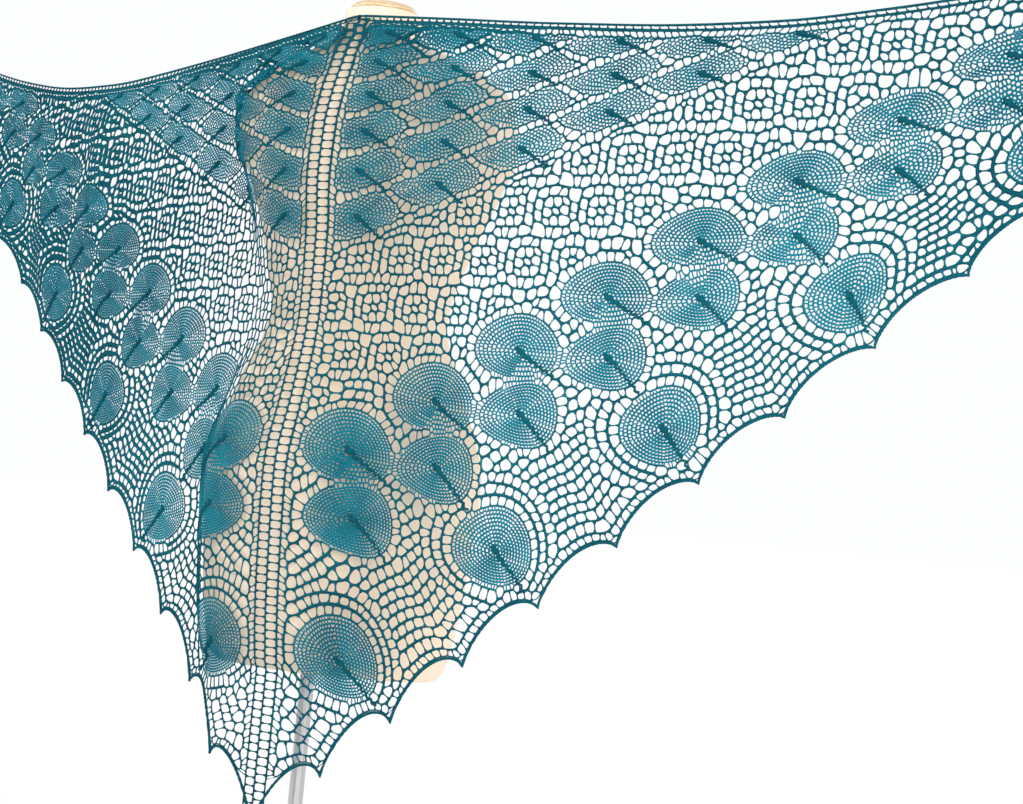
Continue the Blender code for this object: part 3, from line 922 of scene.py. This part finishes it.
SQUARE = ((-1.0, -1.0), (1.0, -1.0), (1.0, 1.0), (-1.0, 1.0))
four_holes = [(x * 0.005, y * 0.005) for x, y in SQUARE]
print("triangles between four holes:", len(triangles_of(four_holes)))

# %% [markdown]
# ## Crossings and rims
# Between two rows the yarn runs straight, so a crossing there lies between the rows. Elsewhere it
# lies amid three holes, nearer to the small ones. A hole's rim is its ring of crossings, drawn in
# by half the yarn: a lot across the row, where the ridges are, and a little along it.

# %% Crossings and rims
FINE_EASE = 0.40  # how far close stitches share in the net's fullness
FINE_RIDGE = 1.15
LEAST_HOLE = 0.15  # the least that is left of a hole


class Net:
    """The crossings and rims of the yarn between sites. The weight thickens all of it."""

    def __init__(self, sites, side=0, weight=1.0):
        self.places = np.array([(s[0], s[1]) for s in sites])
        self.fullness = fullness(side, *self.places.T) if side else weight
        self.rooms = np.array([s[2] for s in sites])
        self.angles = np.array([s[3] for s in sites])
        self.close = np.array([float(s[4]) for s in sites])
        self.fine = self.close > 0.0
        self.ghost = np.array([s[5] for s in sites])
        self.band = np.array([s[6] for s in sites])
        self.row = np.array([s[7] for s in sites])
        self.faces = triangles_of(sites)
        self.crossings = self.cross()
        self.depths = np.where(self.fine[self.faces], FINE_DEPTH, NET_DEPTH).mean(axis=1)
        self.walk_round()
        self.find_neighbours()
        self.draw_rims()

    def cross(self):
        """Where the yarn crosses: between two rows, or amid three, nearer to the small holes."""
        corners = self.places[self.faces]
        rooms = self.rooms[self.faces]
        rows = self.row[self.faces]
        pull = 1.0 / rooms
        middle = (corners * pull[:, :, None]).sum(axis=1) / pull.sum(axis=1)[:, None]
        for alone in range(3):
            one, two = (alone + 1) % 3, (alone + 2) % 3
            paired = (rows[:, one] == rows[:, two]) & (rows[:, alone] != rows[:, one])
            pair = (corners[:, one] + corners[:, two]) / 2.0
            pair_room = (rooms[:, one] + rooms[:, two]) / 2.0
            share = (pair_room / (pair_room + rooms[:, alone]))[:, None]
            between = pair + (corners[:, alone] - pair) * share
            middle[paired] = between[paired]
        return middle

    def walk_round(self):
        """Sorts the crossings round each site."""
        site = self.faces.reshape(-1)
        crossing = np.repeat(np.arange(len(self.faces)), 3)
        offset = self.crossings[crossing] - self.places[site]
        order = np.lexsort((np.arctan2(offset[:, 1], offset[:, 0]), site))
        self.site, self.crossing = site[order], crossing[order]
        starts = np.flatnonzero(np.concatenate([[True], np.diff(self.site) != 0]))
        ends = np.concatenate([starts[1:], [len(self.site)]])
        following = np.arange(len(self.site)) + 1
        following[ends - 1] = starts
        self.following = following

    def find_neighbours(self):
        """The site across each stretch of yarn."""
        one = self.faces[self.crossing]
        two = self.faces[self.crossing[self.following]]
        neighbour = np.full(len(self.site), -1)
        for corner in range(3):
            candidate = one[:, corner]
            shared = (two == candidate[:, None]).any(axis=1) & (candidate != self.site)
            neighbour[shared] = candidate[shared]
        self.neighbour = neighbour

    def draw_rims(self):
        """Each hole's rim: its crossings, drawn in along and across its row."""
        middle = np.zeros_like(self.places)
        count = np.bincount(self.site, minlength=len(self.places))
        for axis in (0, 1):
            total = np.bincount(self.site, self.crossings[self.crossing, axis], len(self.places))
            middle[:, axis] = total / np.maximum(count, 1)
        cosine, sine = np.cos(self.angles), np.sin(self.angles)
        offset = self.crossings[self.crossing] - middle[self.site]
        c, s = cosine[self.site], sine[self.site]
        row_part = offset[:, 0] * c + offset[:, 1] * s
        cross_part = -offset[:, 0] * s + offset[:, 1] * c
        width = np.full(len(self.places), 1e-6)
        height = np.full(len(self.places), 1e-6)
        np.maximum.at(width, self.site, np.abs(row_part))
        np.maximum.at(height, self.site, np.abs(cross_part))
        eased = FINE_HALF_YARN * (self.close + FINE_EASE * (self.fullness - 1.0))
        thin = np.where(self.fine, eased, THIN_HALF_YARN * self.fullness)
        ridge = np.where(self.fine, eased * FINE_RIDGE, RIDGE_HALF_YARN * self.fullness)
        row_part = row_part * np.clip(1.0 - thin / width, LEAST_HOLE, 1.0)[self.site]
        cross_part = cross_part * np.clip(1.0 - ridge / height, LEAST_HOLE, 1.0)[self.site]
        u = middle[self.site, 0] + row_part * c - cross_part * s
        v = middle[self.site, 1] + row_part * s + cross_part * c
        self.rims = np.stack([u, v], axis=-1)


# %% [markdown]
# ## A closed skin of yarn
# Each hole has a rim, and each crossing a point in front of the cloth and one behind it. Faces
# join rim and crossings on both sides, so the net is one closed skin, thick along the rows and
# thin across them. A wide hole's rim has its corners cut, as a real hole is round.

# %% The net as a mesh
CORNER_CUT = 0.28  # how far along a rim its corners are cut
RIDGE_SHARE = 0.7  # yarn runs with the row when this much of it does


def net_mesh(net, chosen):
    """Flat places, offsets from the cloth's middle, faces, and the painted tone of wool on each:
    light for close stitches, painted shade for net and darkest for ridges.
    """
    ringed = net.following != np.arange(len(net.site))  # one crossing alone makes no ring
    use = np.flatnonzero(chosen[net.site] & ringed)
    step = net.crossings[net.crossing[net.following]] - net.crossings[net.crossing]
    angle = net.angles[net.site]
    with_row = np.abs(step[:, 0] * np.cos(angle) + step[:, 1] * np.sin(angle))
    # Yarn along the row is painted darkest, a painted shade for thick yarn.
    shaded_ridge_mask = with_row > RIDGE_SHARE * np.hypot(*step.T)
    number = {}
    front = {}
    places, lifts, faces, painted_tones = [], [], [], []
    for i in use:
        crossing = net.crossing[i]
        if crossing not in front:
            front[crossing] = len(places)
            half = net.depths[crossing] / 2.0
            places += [net.crossings[crossing]] * 2
            lifts += [-half, half]
    for i in use:
        number[i] = len(places)
        if net.fine[net.site[i]]:
            places.append(net.rims[i])
            lifts.append(0.0)
            continue
        for share in (CORNER_CUT, 1.0 - CORNER_CUT):
            places.append(net.rims[i] * (1.0 - share) + net.rims[net.following[i]] * share)
            lifts.append(0.0)
    for i in use:
        n = net.following[i]
        a, b = front[net.crossing[i]], front[net.crossing[n]]
        here, there = number[i], number[n]
        # Close stitches take the light painted tone, thin net a painted shade, ridges the darkest
        # painted shade.
        if net.fine[net.site[i]]:
            painted_tone = 0
            faces += [(a, b, there, here), (b + 1, a + 1, here, there)]
        else:
            painted_tone = 1 + int(shaded_ridge_mask[i])
            faces += [(a, b, here + 1, here), (b + 1, a + 1, here, here + 1)]
            faces += [(b, there, here + 1), (there, b + 1, here + 1)]
        if net.neighbour[i] < 0 or not chosen[net.neighbour[i]]:
            faces.append((b, a, a + 1, b + 1))
        painted_tones += [painted_tone] * (len(faces) - len(painted_tones))
    return np.array(places), np.array(lifts), faces, painted_tones


sample = Ground()
for i in range(5):
    for j in range(5):
        outside = i in (0, 4) or j in (0, 4)
        sample.lay(i * NET_PITCH, j * NET_PITCH, NET_PITCH / 2.0, 0.0, ghost=outside)
sample_net = Net(sample.sites)
print("faces of nine holes:", len(net_mesh(sample_net, ~sample_net.ghost)[2]))

# %% [markdown]
# ## Hanging the net
# The flat net is laid on the hung cloth. A mesh for each band and wing keeps the pieces apart
# as the solids are.

# %% Hanging a flat mesh
def new_piece(name, node, slot, points, faces, finishes):
    """A smooth piece in place of one of the solids."""
    mesh = bpy.data.meshes.new(name)
    mesh.from_pydata([tuple(p) for p in points], [], faces)
    mesh.update()
    mesh.shade_smooth()
    for finish in finishes:
        mesh.materials.append(finish)
    item = bpy.data.objects.new(name, mesh)
    bpy.context.collection.objects.link(item)
    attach(item, "root")
    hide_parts(node)
    return item


# Pieces of one tone, the spine and the edges, take the darkest wool, a painted shade for thick yarn.
def lace_piece(node, points, faces, finishes=(WOOL_RIDGE_PAINTED_SHADE,)):
    """A piece of the shawl."""
    return new_piece(f"{node}_lace", node, "lace_wool", points, faces, finishes)


print("a place on the right shoulder:", hang([0.12], [1.44])[0].round(3).tolist())


def hung(side, places, lifts, faces):
    """Points and faces of a flat mesh of one wing, laid on the cloth."""
    points = hang(places[:, 0] * side, places[:, 1])
    points[:, 1] += lifts
    if side < 0:
        faces = [face[::-1] for face in faces]
    return points, faces


# %% [markdown]
# ## Cords and veins
# A cord is a tube along a line. The cast-off edge and the top edge are cords with two plies that
# wind round each other; the vein of a leaf is a plain tube.

# %% A two-ply cord
PLY_MIDDLE = 0.86
PLY_SWELL = 0.16


def tube_faces(rings, sides):
    """The faces of a closed tube of rings."""
    faces = []
    for i in range(rings - 1):
        low, high = i * sides, (i + 1) * sides
        for k in range(sides):
            n = (k + 1) % sides
            faces.append((low + n, low + k, high + k, high + n))
    last = (rings - 1) * sides
    return faces + [tuple(range(sides)), tuple(last + k for k in reversed(range(sides)))]


def cord_mesh(path, radii, sides, turns_per_metre=0.0):
    """Points and faces of a closed tube along a line that lies near the X-Z plane."""
    path = np.asarray(path)
    radii = np.broadcast_to(radii, len(path))
    ahead = np.gradient(path, axis=0)
    ahead /= np.linalg.norm(ahead, axis=1)[:, None]
    across = np.cross(ahead, (0.0, 1.0, 0.0))
    across /= np.linalg.norm(across, axis=1)[:, None]
    out = np.cross(across, ahead)
    steps = np.linalg.norm(np.diff(path, axis=0), axis=1)
    travel = np.concatenate([[0.0], np.cumsum(steps)])
    turns = 2.0 * np.pi * np.arange(sides) / sides
    ply = np.ones((len(path), sides))
    if turns_per_metre:
        twist = 2.0 * np.pi * turns_per_metre * travel
        ply = PLY_MIDDLE + PLY_SWELL * np.cos(2.0 * (turns[None, :] - twist[:, None]))
    reach = (radii[:, None] * ply)[:, :, None]
    aside = across[:, None] * np.cos(turns)[:, None] + out[:, None] * np.sin(turns)[:, None]
    points = path[:, None] + aside * reach
    return points.reshape(-1, 3), tube_faces(len(path), sides)


def joined(parts):
    """Several meshes as one."""
    points, faces, start = [], [], 0
    for some_points, some_faces in parts:
        points.append(np.asarray(some_points))
        faces += [tuple(v + start for v in face) for face in some_faces]
        start += len(some_points)
    return np.concatenate(points), faces


VEIN_RADIUS = 0.0022
VEIN_SIDES = 6
VEIN_ENDS = (-0.16, 1.30)  # in half lengths of the leaf
VEIN_LIFT = 0.0006
VEIN_WANDER = 0.014  # in columns


def vein_mesh(leaf):
    """The thick cord from a leaf's middle to just past its tip; its dark is painted shade."""
    side, row, column, half_length, *_ = leaf
    at = np.linspace(*VEIN_ENDS, 30)
    u, v = chart(side, row + half_length * at, column + VEIN_WANDER * np.sin(at * 30.0))
    path = hang(u * side, v)
    path[:, 1] -= VEIN_LIFT
    swell = 0.62 + 0.70 * np.exp(-((at / 0.30) ** 2)) * (0.75 + 0.25 * np.cos(at * 40.0))
    return cord_mesh(path, VEIN_RADIUS * swell, VEIN_SIDES)


print("points on a vein:", len(vein_mesh(wing_leaves(1)[0][0])[0]))

# %% [markdown]
# ## The bands, hung and measured
# Each band of each wing is one piece, with its veins. One yarn is painted in three tones: its
# close stitches a painted light, brighter than its net, and ridges and veins the darkest, a painted
# shade for thick yarn. The size and area that it had when it was knitted are measured on the
# chart, before it is hung: a hung cloth is bent, not stretched.

# %% The eight bands
def flat_size(side, number):
    """Mean width and length of a band as it was knitted, along and across its rows."""
    first = 0.0 if number == 0 else BAND_ENDS[number - 1]
    last = min(BAND_ENDS[number], ROWS)
    shares = np.linspace(0.0, 1.0, 25)
    rows = np.linspace(first, last, 25)
    grid = np.array([chart(side, row, (shares - 0.5) * row) for row in rows])
    across = np.diff(grid, axis=2)
    down = np.diff(grid, axis=0)
    width = float(np.hypot(across[:, 0], across[:, 1]).sum(axis=1).mean())
    quads = across[:-1, 0] * down[:, 1, :-1] - across[:-1, 1] * down[:, 0, :-1]
    return width, float(np.abs(quads).sum()) / width


def flat_area(places, lifts, faces):
    """Area of the net laid flat, holes left out: half of the skin round its yarn."""
    points = np.column_stack([places, lifts])
    corners = np.array([face if len(face) == 4 else (*face, face[-1]) for face in faces])
    a, b, c, d = (points[corners[:, k]] for k in range(4))
    return float(np.linalg.norm(np.cross(c - a, d - b), axis=1).sum()) / 4.0


band_sheets = []
for side, hand in ((1, "right"), (-1, "left")):
    ground = wing_ground(side)
    net = Net(ground.sites, side)
    print(hand, "wing:", len(ground.sites), "holes,", int(net.fine.sum()), "fine")
    for number, band in enumerate(BANDS):
        chosen = (net.band == number) & ~net.ghost
        *flat_net, painted_tones = net_mesh(net, chosen)
        parts = [hung(side, *flat_net)]
        for leaf, leaf_band in wing_leaves(side):
            if leaf_band == number:
                parts.append(vein_mesh(leaf))
                # Veins take the darkest tone, a painted shade.
                painted_tones += [2] * len(parts[-1][1])
        piece = lace_piece(f"{band}_{hand}", *joined(parts), LACE_WOOL_PAINTED_TONES)
        piece.data.polygons.foreach_set("material_index", painted_tones)
        flat = flat_size(side, number)
        band_sheets.append((piece, hand, number, flat, flat_area(*flat_net)))
        print(" ", piece.name, len(piece.data.polygons), "faces, flat", [round(v, 3) for v in flat])

# %% [markdown]
# ## The spine
# Two columns of eyelets run down the middle of the back, between three ridges. They are the
# increases that make the triangle grow.

# %% The spine's ladder of eyelets
SPINE_PITCH = 0.0088
SMALL_ROOM = 0.002
SPINE_WEIGHT = 0.75
NECK_WEIGHT = 1.5
NECK_DEPTH = 0.040


def spine_ground():
    """Two columns of holes and the ghosts round them."""
    ground = Ground()
    top = float(TOP_HEIGHT[1](0.0)) - TOP_EDGING_WIDTH
    bottom = float(spine_height(ROWS - CAST_OFF_ROWS))
    count = int((top - bottom) / SPINE_PITCH)
    pitch = (top - bottom) / count
    for k in range(-1, count + 1):
        for column in (-1.5, -0.5, 0.5, 1.5):
            sway = 0.25 * pitch * (1 if column in (-1.5, 0.5) else -1)
            u = column * SPINE_HALF_WIDTH
            v = bottom + (k + 0.5) * pitch + sway
            outside = abs(column) > 1.0 or k < 0 or k >= count
            ground.rows = int(column * 2.0) + 4
            ground.lay(u, v, SMALL_ROOM, math.pi / 2.0, ghost=outside)
    return ground


spine_sites = spine_ground().sites
spine_depths = np.array([float(TOP_HEIGHT[1](0.0)) - s[1] for s in spine_sites])
spine_weight = SPINE_WEIGHT + NECK_WEIGHT * np.exp(-((spine_depths / NECK_DEPTH) ** 2))
spine_net = Net(spine_sites, weight=spine_weight)
*spine_flat_net, _ = net_mesh(spine_net, ~spine_net.ghost)
spine = lace_piece("spine_ladder", *hung(1, *spine_flat_net))

# %% [markdown]
# ## The edges
# The top edge is a narrow ladder under a firm cord. The hem is cast off with a thick cord, drawn
# into a point at each of the fifteen pins that it was blocked with.

# %% Top edging and cast-off
TOP_CORD_RADIUS = 0.0013
LOW_CORD_RADIUS = 0.7 * TOP_CORD_RADIUS
HEM_CORD_RADIUS = 0.0017
CORD_SIDES = 8
PLY_TURNS = 160.0  # in a metre
TOP_HOLE_PITCH = 0.0095
TOP_HOLE_LEAN = 0.0012
TOP_GHOSTS = (-0.009, 1.189)  # beyond both ends of the top edge


def top_ladder(side):
    """A row of holes between the top cord and the lace."""
    ground = Ground()
    reaches = np.linspace(0.0003, 1.179, 200)
    line = np.stack([reaches, TOP_HEIGHT[side](reaches) - TOP_EDGING_WIDTH / 2.0], axis=-1)
    for u, v, angle in zip(*along(line, TOP_HOLE_PITCH)):
        for step in (-1, 0, 1):
            ground.rows = step + 2
            place = (u + step * TOP_HOLE_LEAN, v + step * TOP_EDGING_WIDTH)
            ground.lay(*place, SMALL_ROOM, angle, ghost=step != 0)
    for end in TOP_GHOSTS:
        ground.lay(end, float(TOP_HEIGHT[side](max(end, 0.0))), SMALL_ROOM, 0.0, ghost=True)
    return ground


def edge_cord(side, line, radius):
    """A cord along a line of reach and height."""
    return cord_mesh(hang(line[:, 0] * side, line[:, 1]), radius, CORD_SIDES, PLY_TURNS)


for side, hand in ((1, "right"), (-1, "left")):
    ladder = Net(top_ladder(side).sites)
    reaches = np.linspace(0.0002, 1.1795, 560)
    top_line = np.stack([reaches, TOP_HEIGHT[side](reaches) - TOP_CORD_RADIUS], axis=-1)
    low_line = np.stack([reaches, TOP_HEIGHT[side](reaches) - TOP_EDGING_WIDTH], axis=-1)
    parts = [
        hung(side, *net_mesh(ladder, ~ladder.ghost)[:3]),
        edge_cord(side, top_line, TOP_CORD_RADIUS),
        edge_cord(side, low_line[10:], LOW_CORD_RADIUS),
    ]
    lace_piece(f"top_edging_{hand}", *joined(parts))
    shares = np.linspace(0.0, 1.0, 901)
    rows = hem_row(shares) - CAST_OFF_ROWS * 0.5
    hem_line = np.stack(chart(side, rows, (shares - 0.5) * rows), axis=-1)
    hem_cord = edge_cord(side, hem_line, HEM_CORD_RADIUS)
    lace_piece(f"cast_off_edge_{hand}", *hem_cord)

# %% [markdown]
# ## The cloth's flat size
# A shawl isn't stretched when it is hung, so each band keeps the size that it was knitted to. The
# flat size is its mean width along the rows by its mean length across them. The area leaves the
# holes out: it is half of the skin round the yarn, since a sheet has two sides.

# %% Sheets
for piece, hand, number, flat, area in band_sheets:
    share = area / (flat[0] * flat[1])
    print(piece.name, [round(v, 3) for v in flat], "yarn covers", round(share, 2))
spine_length = float(TOP_HEIGHT[1](0.0) - spine_height(ROWS))

# %% [markdown]
# ## Linen cover
# The form is padded and covered with plain woven linen, cut in panels with seams down the back
# and sides. The weave is a fine grid that shows close up.

# %% Cream linen
def linen(name):
    """Plain woven cloth, a little slubbed."""
    finish = Finish(name)
    warp = finish.noise(1.0, 2.0, finish.stretch(1500.0, 1500.0, 60.0))
    weft = finish.noise(1.0, 2.0, finish.stretch(60.0, 60.0, 1500.0))
    weave = warp * 0.5 + weft * 0.5
    stain = finish.noise(6.0, 3.0)
    colour = finish.mix((stain * 1.6 - 0.3).clamp(), (0.86, 0.66, 0.48), (0.94, 0.80, 0.65))
    colour = finish.mix((weave * 1.8 - 0.55).clamp() * 0.35, colour, (0.95, 0.90, 0.80))
    return finish.shade(
        Base_Color=colour,
        Roughness=(weave * 0.2 + 0.72).clamp(),
        Normal=finish.bump(weave, 0.35, 0.0006),
        Sheen_Weight=0.15,
        Specular_IOR_Level=0.3,
    )


LINEN = linen("cream_linen")
print("cover's finish:", LINEN.name)

# %% [markdown]
# ## The padded torso
# The cover is sewn from panels, and a seam draws the padding in a little. The form could be
# carved from a block, but a stack of rings follows the solid's own sections and lets each seam
# run straight from the neck to the rim.

# %% The padded torso
FORM_SIDES = 128
FORM_STEP = 0.006
SEAM_TURNS = (0.0, 0.19, -0.19, 0.5, -0.5, 0.81, -0.81, 1.0)  # in half turns from the back
SEAM_HALF_WIDTH = 0.0016
SEAM_DEPTH = 0.0009
SHARP_EDGE = math.radians(50.0)


def form_mesh():
    """Rings of the torso with its seams pressed in."""
    count = int((FORM_TOP - FORM_RIM) / FORM_STEP)
    heights = np.concatenate([[FORM_RIM], np.linspace(FORM_RIM + 0.002, FORM_TOP, count)])
    points = []
    for height in heights:
        half_width = float(ring_half_width(height))
        back, front = float(ring_back(height)), float(ring_front(height))
        half_depth, forward = (front + back) / 2.0, (front - back) / 2.0
        for k in range(FORM_SIDES):
            turn = 2.0 * math.pi * k / FORM_SIDES
            sunk = 0.0
            for seam in SEAM_TURNS:
                gap = (turn / math.pi - seam + 1.0) % 2.0 - 1.0
                sunk += math.exp(-((gap * math.pi * half_width / SEAM_HALF_WIDTH) ** 2))
            grow = 1.0 - SEAM_DEPTH * min(sunk, 1.0) / half_depth
            a = half_width * math.sin(turn) * grow
            f = forward - half_depth * math.cos(turn) * grow
            a = min(max(a, -ARM_PLATE), ARM_PLATE)
            x = a * math.cos(FORM_TURN) - f * math.sin(FORM_TURN)
            y = a * math.sin(FORM_TURN) + f * math.cos(FORM_TURN)
            points.append((x, y, height))
    return points, [face[::-1] for face in tube_faces(len(heights), FORM_SIDES)]


torso = new_piece("form_torso_cover", "form_torso", "form_linen", *form_mesh(), [LINEN])
torso.data.set_sharp_from_angle(angle=SHARP_EDGE)
print("torso faces:", len(torso.data.polygons))

# %% [markdown]
# ## The stand
# The cap is turned from pale wood, and the pole and its socket are brushed steel tube. The round
# base is powder coated. Their solids have the right shape already, so they only get a finish.

# %% Wood, steel and powder coat
def pale_wood(name):
    """Light varnished wood with rings that run across the cap."""
    finish = Finish(name)
    place = finish.stretch(1.0, 0.35, 1.0)
    rings = {"Vector": place, "Scale": 90.0, "Distortion": 6.0, "Detail": 3.0}
    grain = finish.node("ShaderNodeTexWave", {"wave_type": "RINGS"}, rings, out="Fac")
    colour = finish.mix(grain, (0.56, 0.38, 0.20), (0.78, 0.60, 0.38))
    return finish.shade(Base_Color=colour, Roughness=grain * -0.1 + 0.45, Coat_Weight=0.3)


def brushed_steel(name):
    """Steel tube, brushed along its length."""
    finish = Finish(name)
    brush = finish.noise(1.0, 3.0, finish.stretch(900.0, 900.0, 8.0))
    colour = finish.mix(brush, (0.42, 0.42, 0.43), (0.68, 0.67, 0.66))
    hairlines = finish.bump(brush, 0.15, 0.0003)
    roughness = brush * 0.25 + 0.22
    return finish.shade(Base_Color=colour, Metallic=1.0, Roughness=roughness, Normal=hairlines)


def powder_coat(name):
    """Light grey powder coat with its fine orange peel."""
    finish = Finish(name)
    peel = finish.bump(finish.noise(700.0, 2.0), 0.2, 0.0004)
    wear = finish.noise(9.0, 4.0)
    colour = finish.mix((wear * 1.5 - 0.3).clamp(), (0.36, 0.36, 0.36), (0.46, 0.46, 0.45))
    return finish.shade(Base_Color=colour, Roughness=wear * 0.2 + 0.4, Normal=peel)


nodes = frame["nodes"]
steel = brushed_steel("brushed_steel")
for name, material in (
    ("neck_cap", pale_wood("pale_wood")),
    ("stand_pole", steel),
    ("base_socket", steel),
    ("stand_base", powder_coat("powder_coat")),
):
    nodes[name].data.materials.clear()
    nodes[name].data.materials.append(material)
print("stand finished")

# %% [markdown]
# ## The camera
# The picture is taken from behind and a little to the right of the form, at the height of its
# waist, with the camera leaning a little.

# %% Camera
CAMERA_PLACE = Vector((1.435, -1.383, 0.9855))
CAMERA_AIM = Vector((-0.6496, 0.7586, 0.0502))
CAMERA_TURN = 0.708
CAMERA_ROLL = 0.092
CAMERA_LENS = 64.74
CAMERA_SENSOR = 36.0

level = Vector((math.cos(CAMERA_TURN), math.sin(CAMERA_TURN), 0.0))
upright = level.cross(CAMERA_AIM)
right = level * math.cos(CAMERA_ROLL) + upright * math.sin(CAMERA_ROLL)
up = upright * math.cos(CAMERA_ROLL) - level * math.sin(CAMERA_ROLL)
camera_data = bpy.data.cameras.new("camera")
camera_data.lens = CAMERA_LENS
camera_data.sensor_width = CAMERA_SENSOR
camera = bpy.data.objects.new("camera", camera_data)
turn = Matrix((right, up, -CAMERA_AIM)).transposed().to_4x4()
camera.matrix_world = Matrix.Translation(CAMERA_PLACE) @ turn
bpy.context.collection.objects.link(camera)
bpy.context.scene.camera = camera
print("camera stands", round(CAMERA_PLACE.xy.length, 2), "m from the pole")

# %% [markdown]
# ## Light and floor
# The room is a plain pale studio. A wide soft light stands on each side of the camera and one
# behind the shawl, so that the holes read bright and the yarn dark.

# %% Studio
LAMPS = (  # name, place, size, power, colour
    ("key", (-1.6, -2.6, 2.6), 1.6, 40.0, (1.0, 0.96, 0.9)),
    ("fill", (2.8, -1.6, 1.8), 2.0, 66.0, (1.0, 0.97, 0.92)),
    ("behind", (0.4, 3.2, 2.4), 2.4, 16.0, (0.92, 0.97, 1.0)),
)
MIDDLE = Vector((0.0, 0.0, 1.1))
for name, place, size, power, colour in LAMPS:
    lamp_data = bpy.data.lights.new(name, "AREA")
    lamp_data.shape = "SQUARE"
    lamp_data.size, lamp_data.energy, lamp_data.color = size, power, colour
    lamp = bpy.data.objects.new(name, lamp_data)
    lamp.location = place
    lamp.rotation_euler = (MIDDLE - Vector(place)).to_track_quat("-Z", "Y").to_euler()
    bpy.context.collection.objects.link(lamp)
bpy.context.scene.view_settings.view_transform = "Standard"
print("lamps:", len(LAMPS))

# %% [markdown]
# ## The pale room
# The room is so bright that it burns out to white. One background lights the shawl gently, and
# a brighter one is what the camera sees through the holes.

# %% Sky
SKY_COLOUR = (0.965, 0.985, 1.0, 1.0)
SKY_LIGHT = 0.80
SKY_SHOWN = 1.02

world = bpy.data.worlds.new("studio")
world.use_nodes = True
sky = Graph(world.node_tree)
sky.tree.nodes.remove(sky.tree.nodes["Background"])
lit, shown = (
    sky.node("ShaderNodeBackground", None, {"Color": SKY_COLOUR, "Strength": strength})
    for strength in (SKY_LIGHT, SKY_SHOWN)
)
seen = sky.node("ShaderNodeLightPath", out="Is Camera Ray")
either = sky.node("ShaderNodeMixShader", None, {0: seen, 1: lit, 2: shown})
sky.join(either, sky.tree.nodes["World Output"].inputs["Surface"])
bpy.context.scene.world = world
print("sky's nodes:", len(sky.tree.nodes))

# %% [markdown]
# ## The floor
# The stand needs something to stand on. The floor is as pale as the room, so that the two meet
# without a line.

# %% Floor
FLOOR_SIZE = 60.0
FLOOR_GREY = (0.05, 0.05, 0.05, 1.0)
FLOOR_GLOW = 0.95

floor_mesh = bpy.data.meshes.new("floor")
floor_mesh.from_pydata([(x * FLOOR_SIZE, y * FLOOR_SIZE, 0.0) for x, y in SQUARE], [], [(0, 1, 2, 3)])
floor = bpy.data.objects.new("floor", floor_mesh)
bpy.context.collection.objects.link(floor)
pale = Finish("pale_floor")
glow = pale.mix(pale.noise(1.5, 2.0), (0.95, 0.975, 1.0), (1.0, 1.0, 1.0))
pale.shade(Base_Color=FLOOR_GREY, Roughness=1.0, Emission_Color=glow, Emission_Strength=FLOOR_GLOW)
floor_mesh.materials.append(pale.material)
print("floor:", 2.0 * FLOOR_SIZE, "m wide")
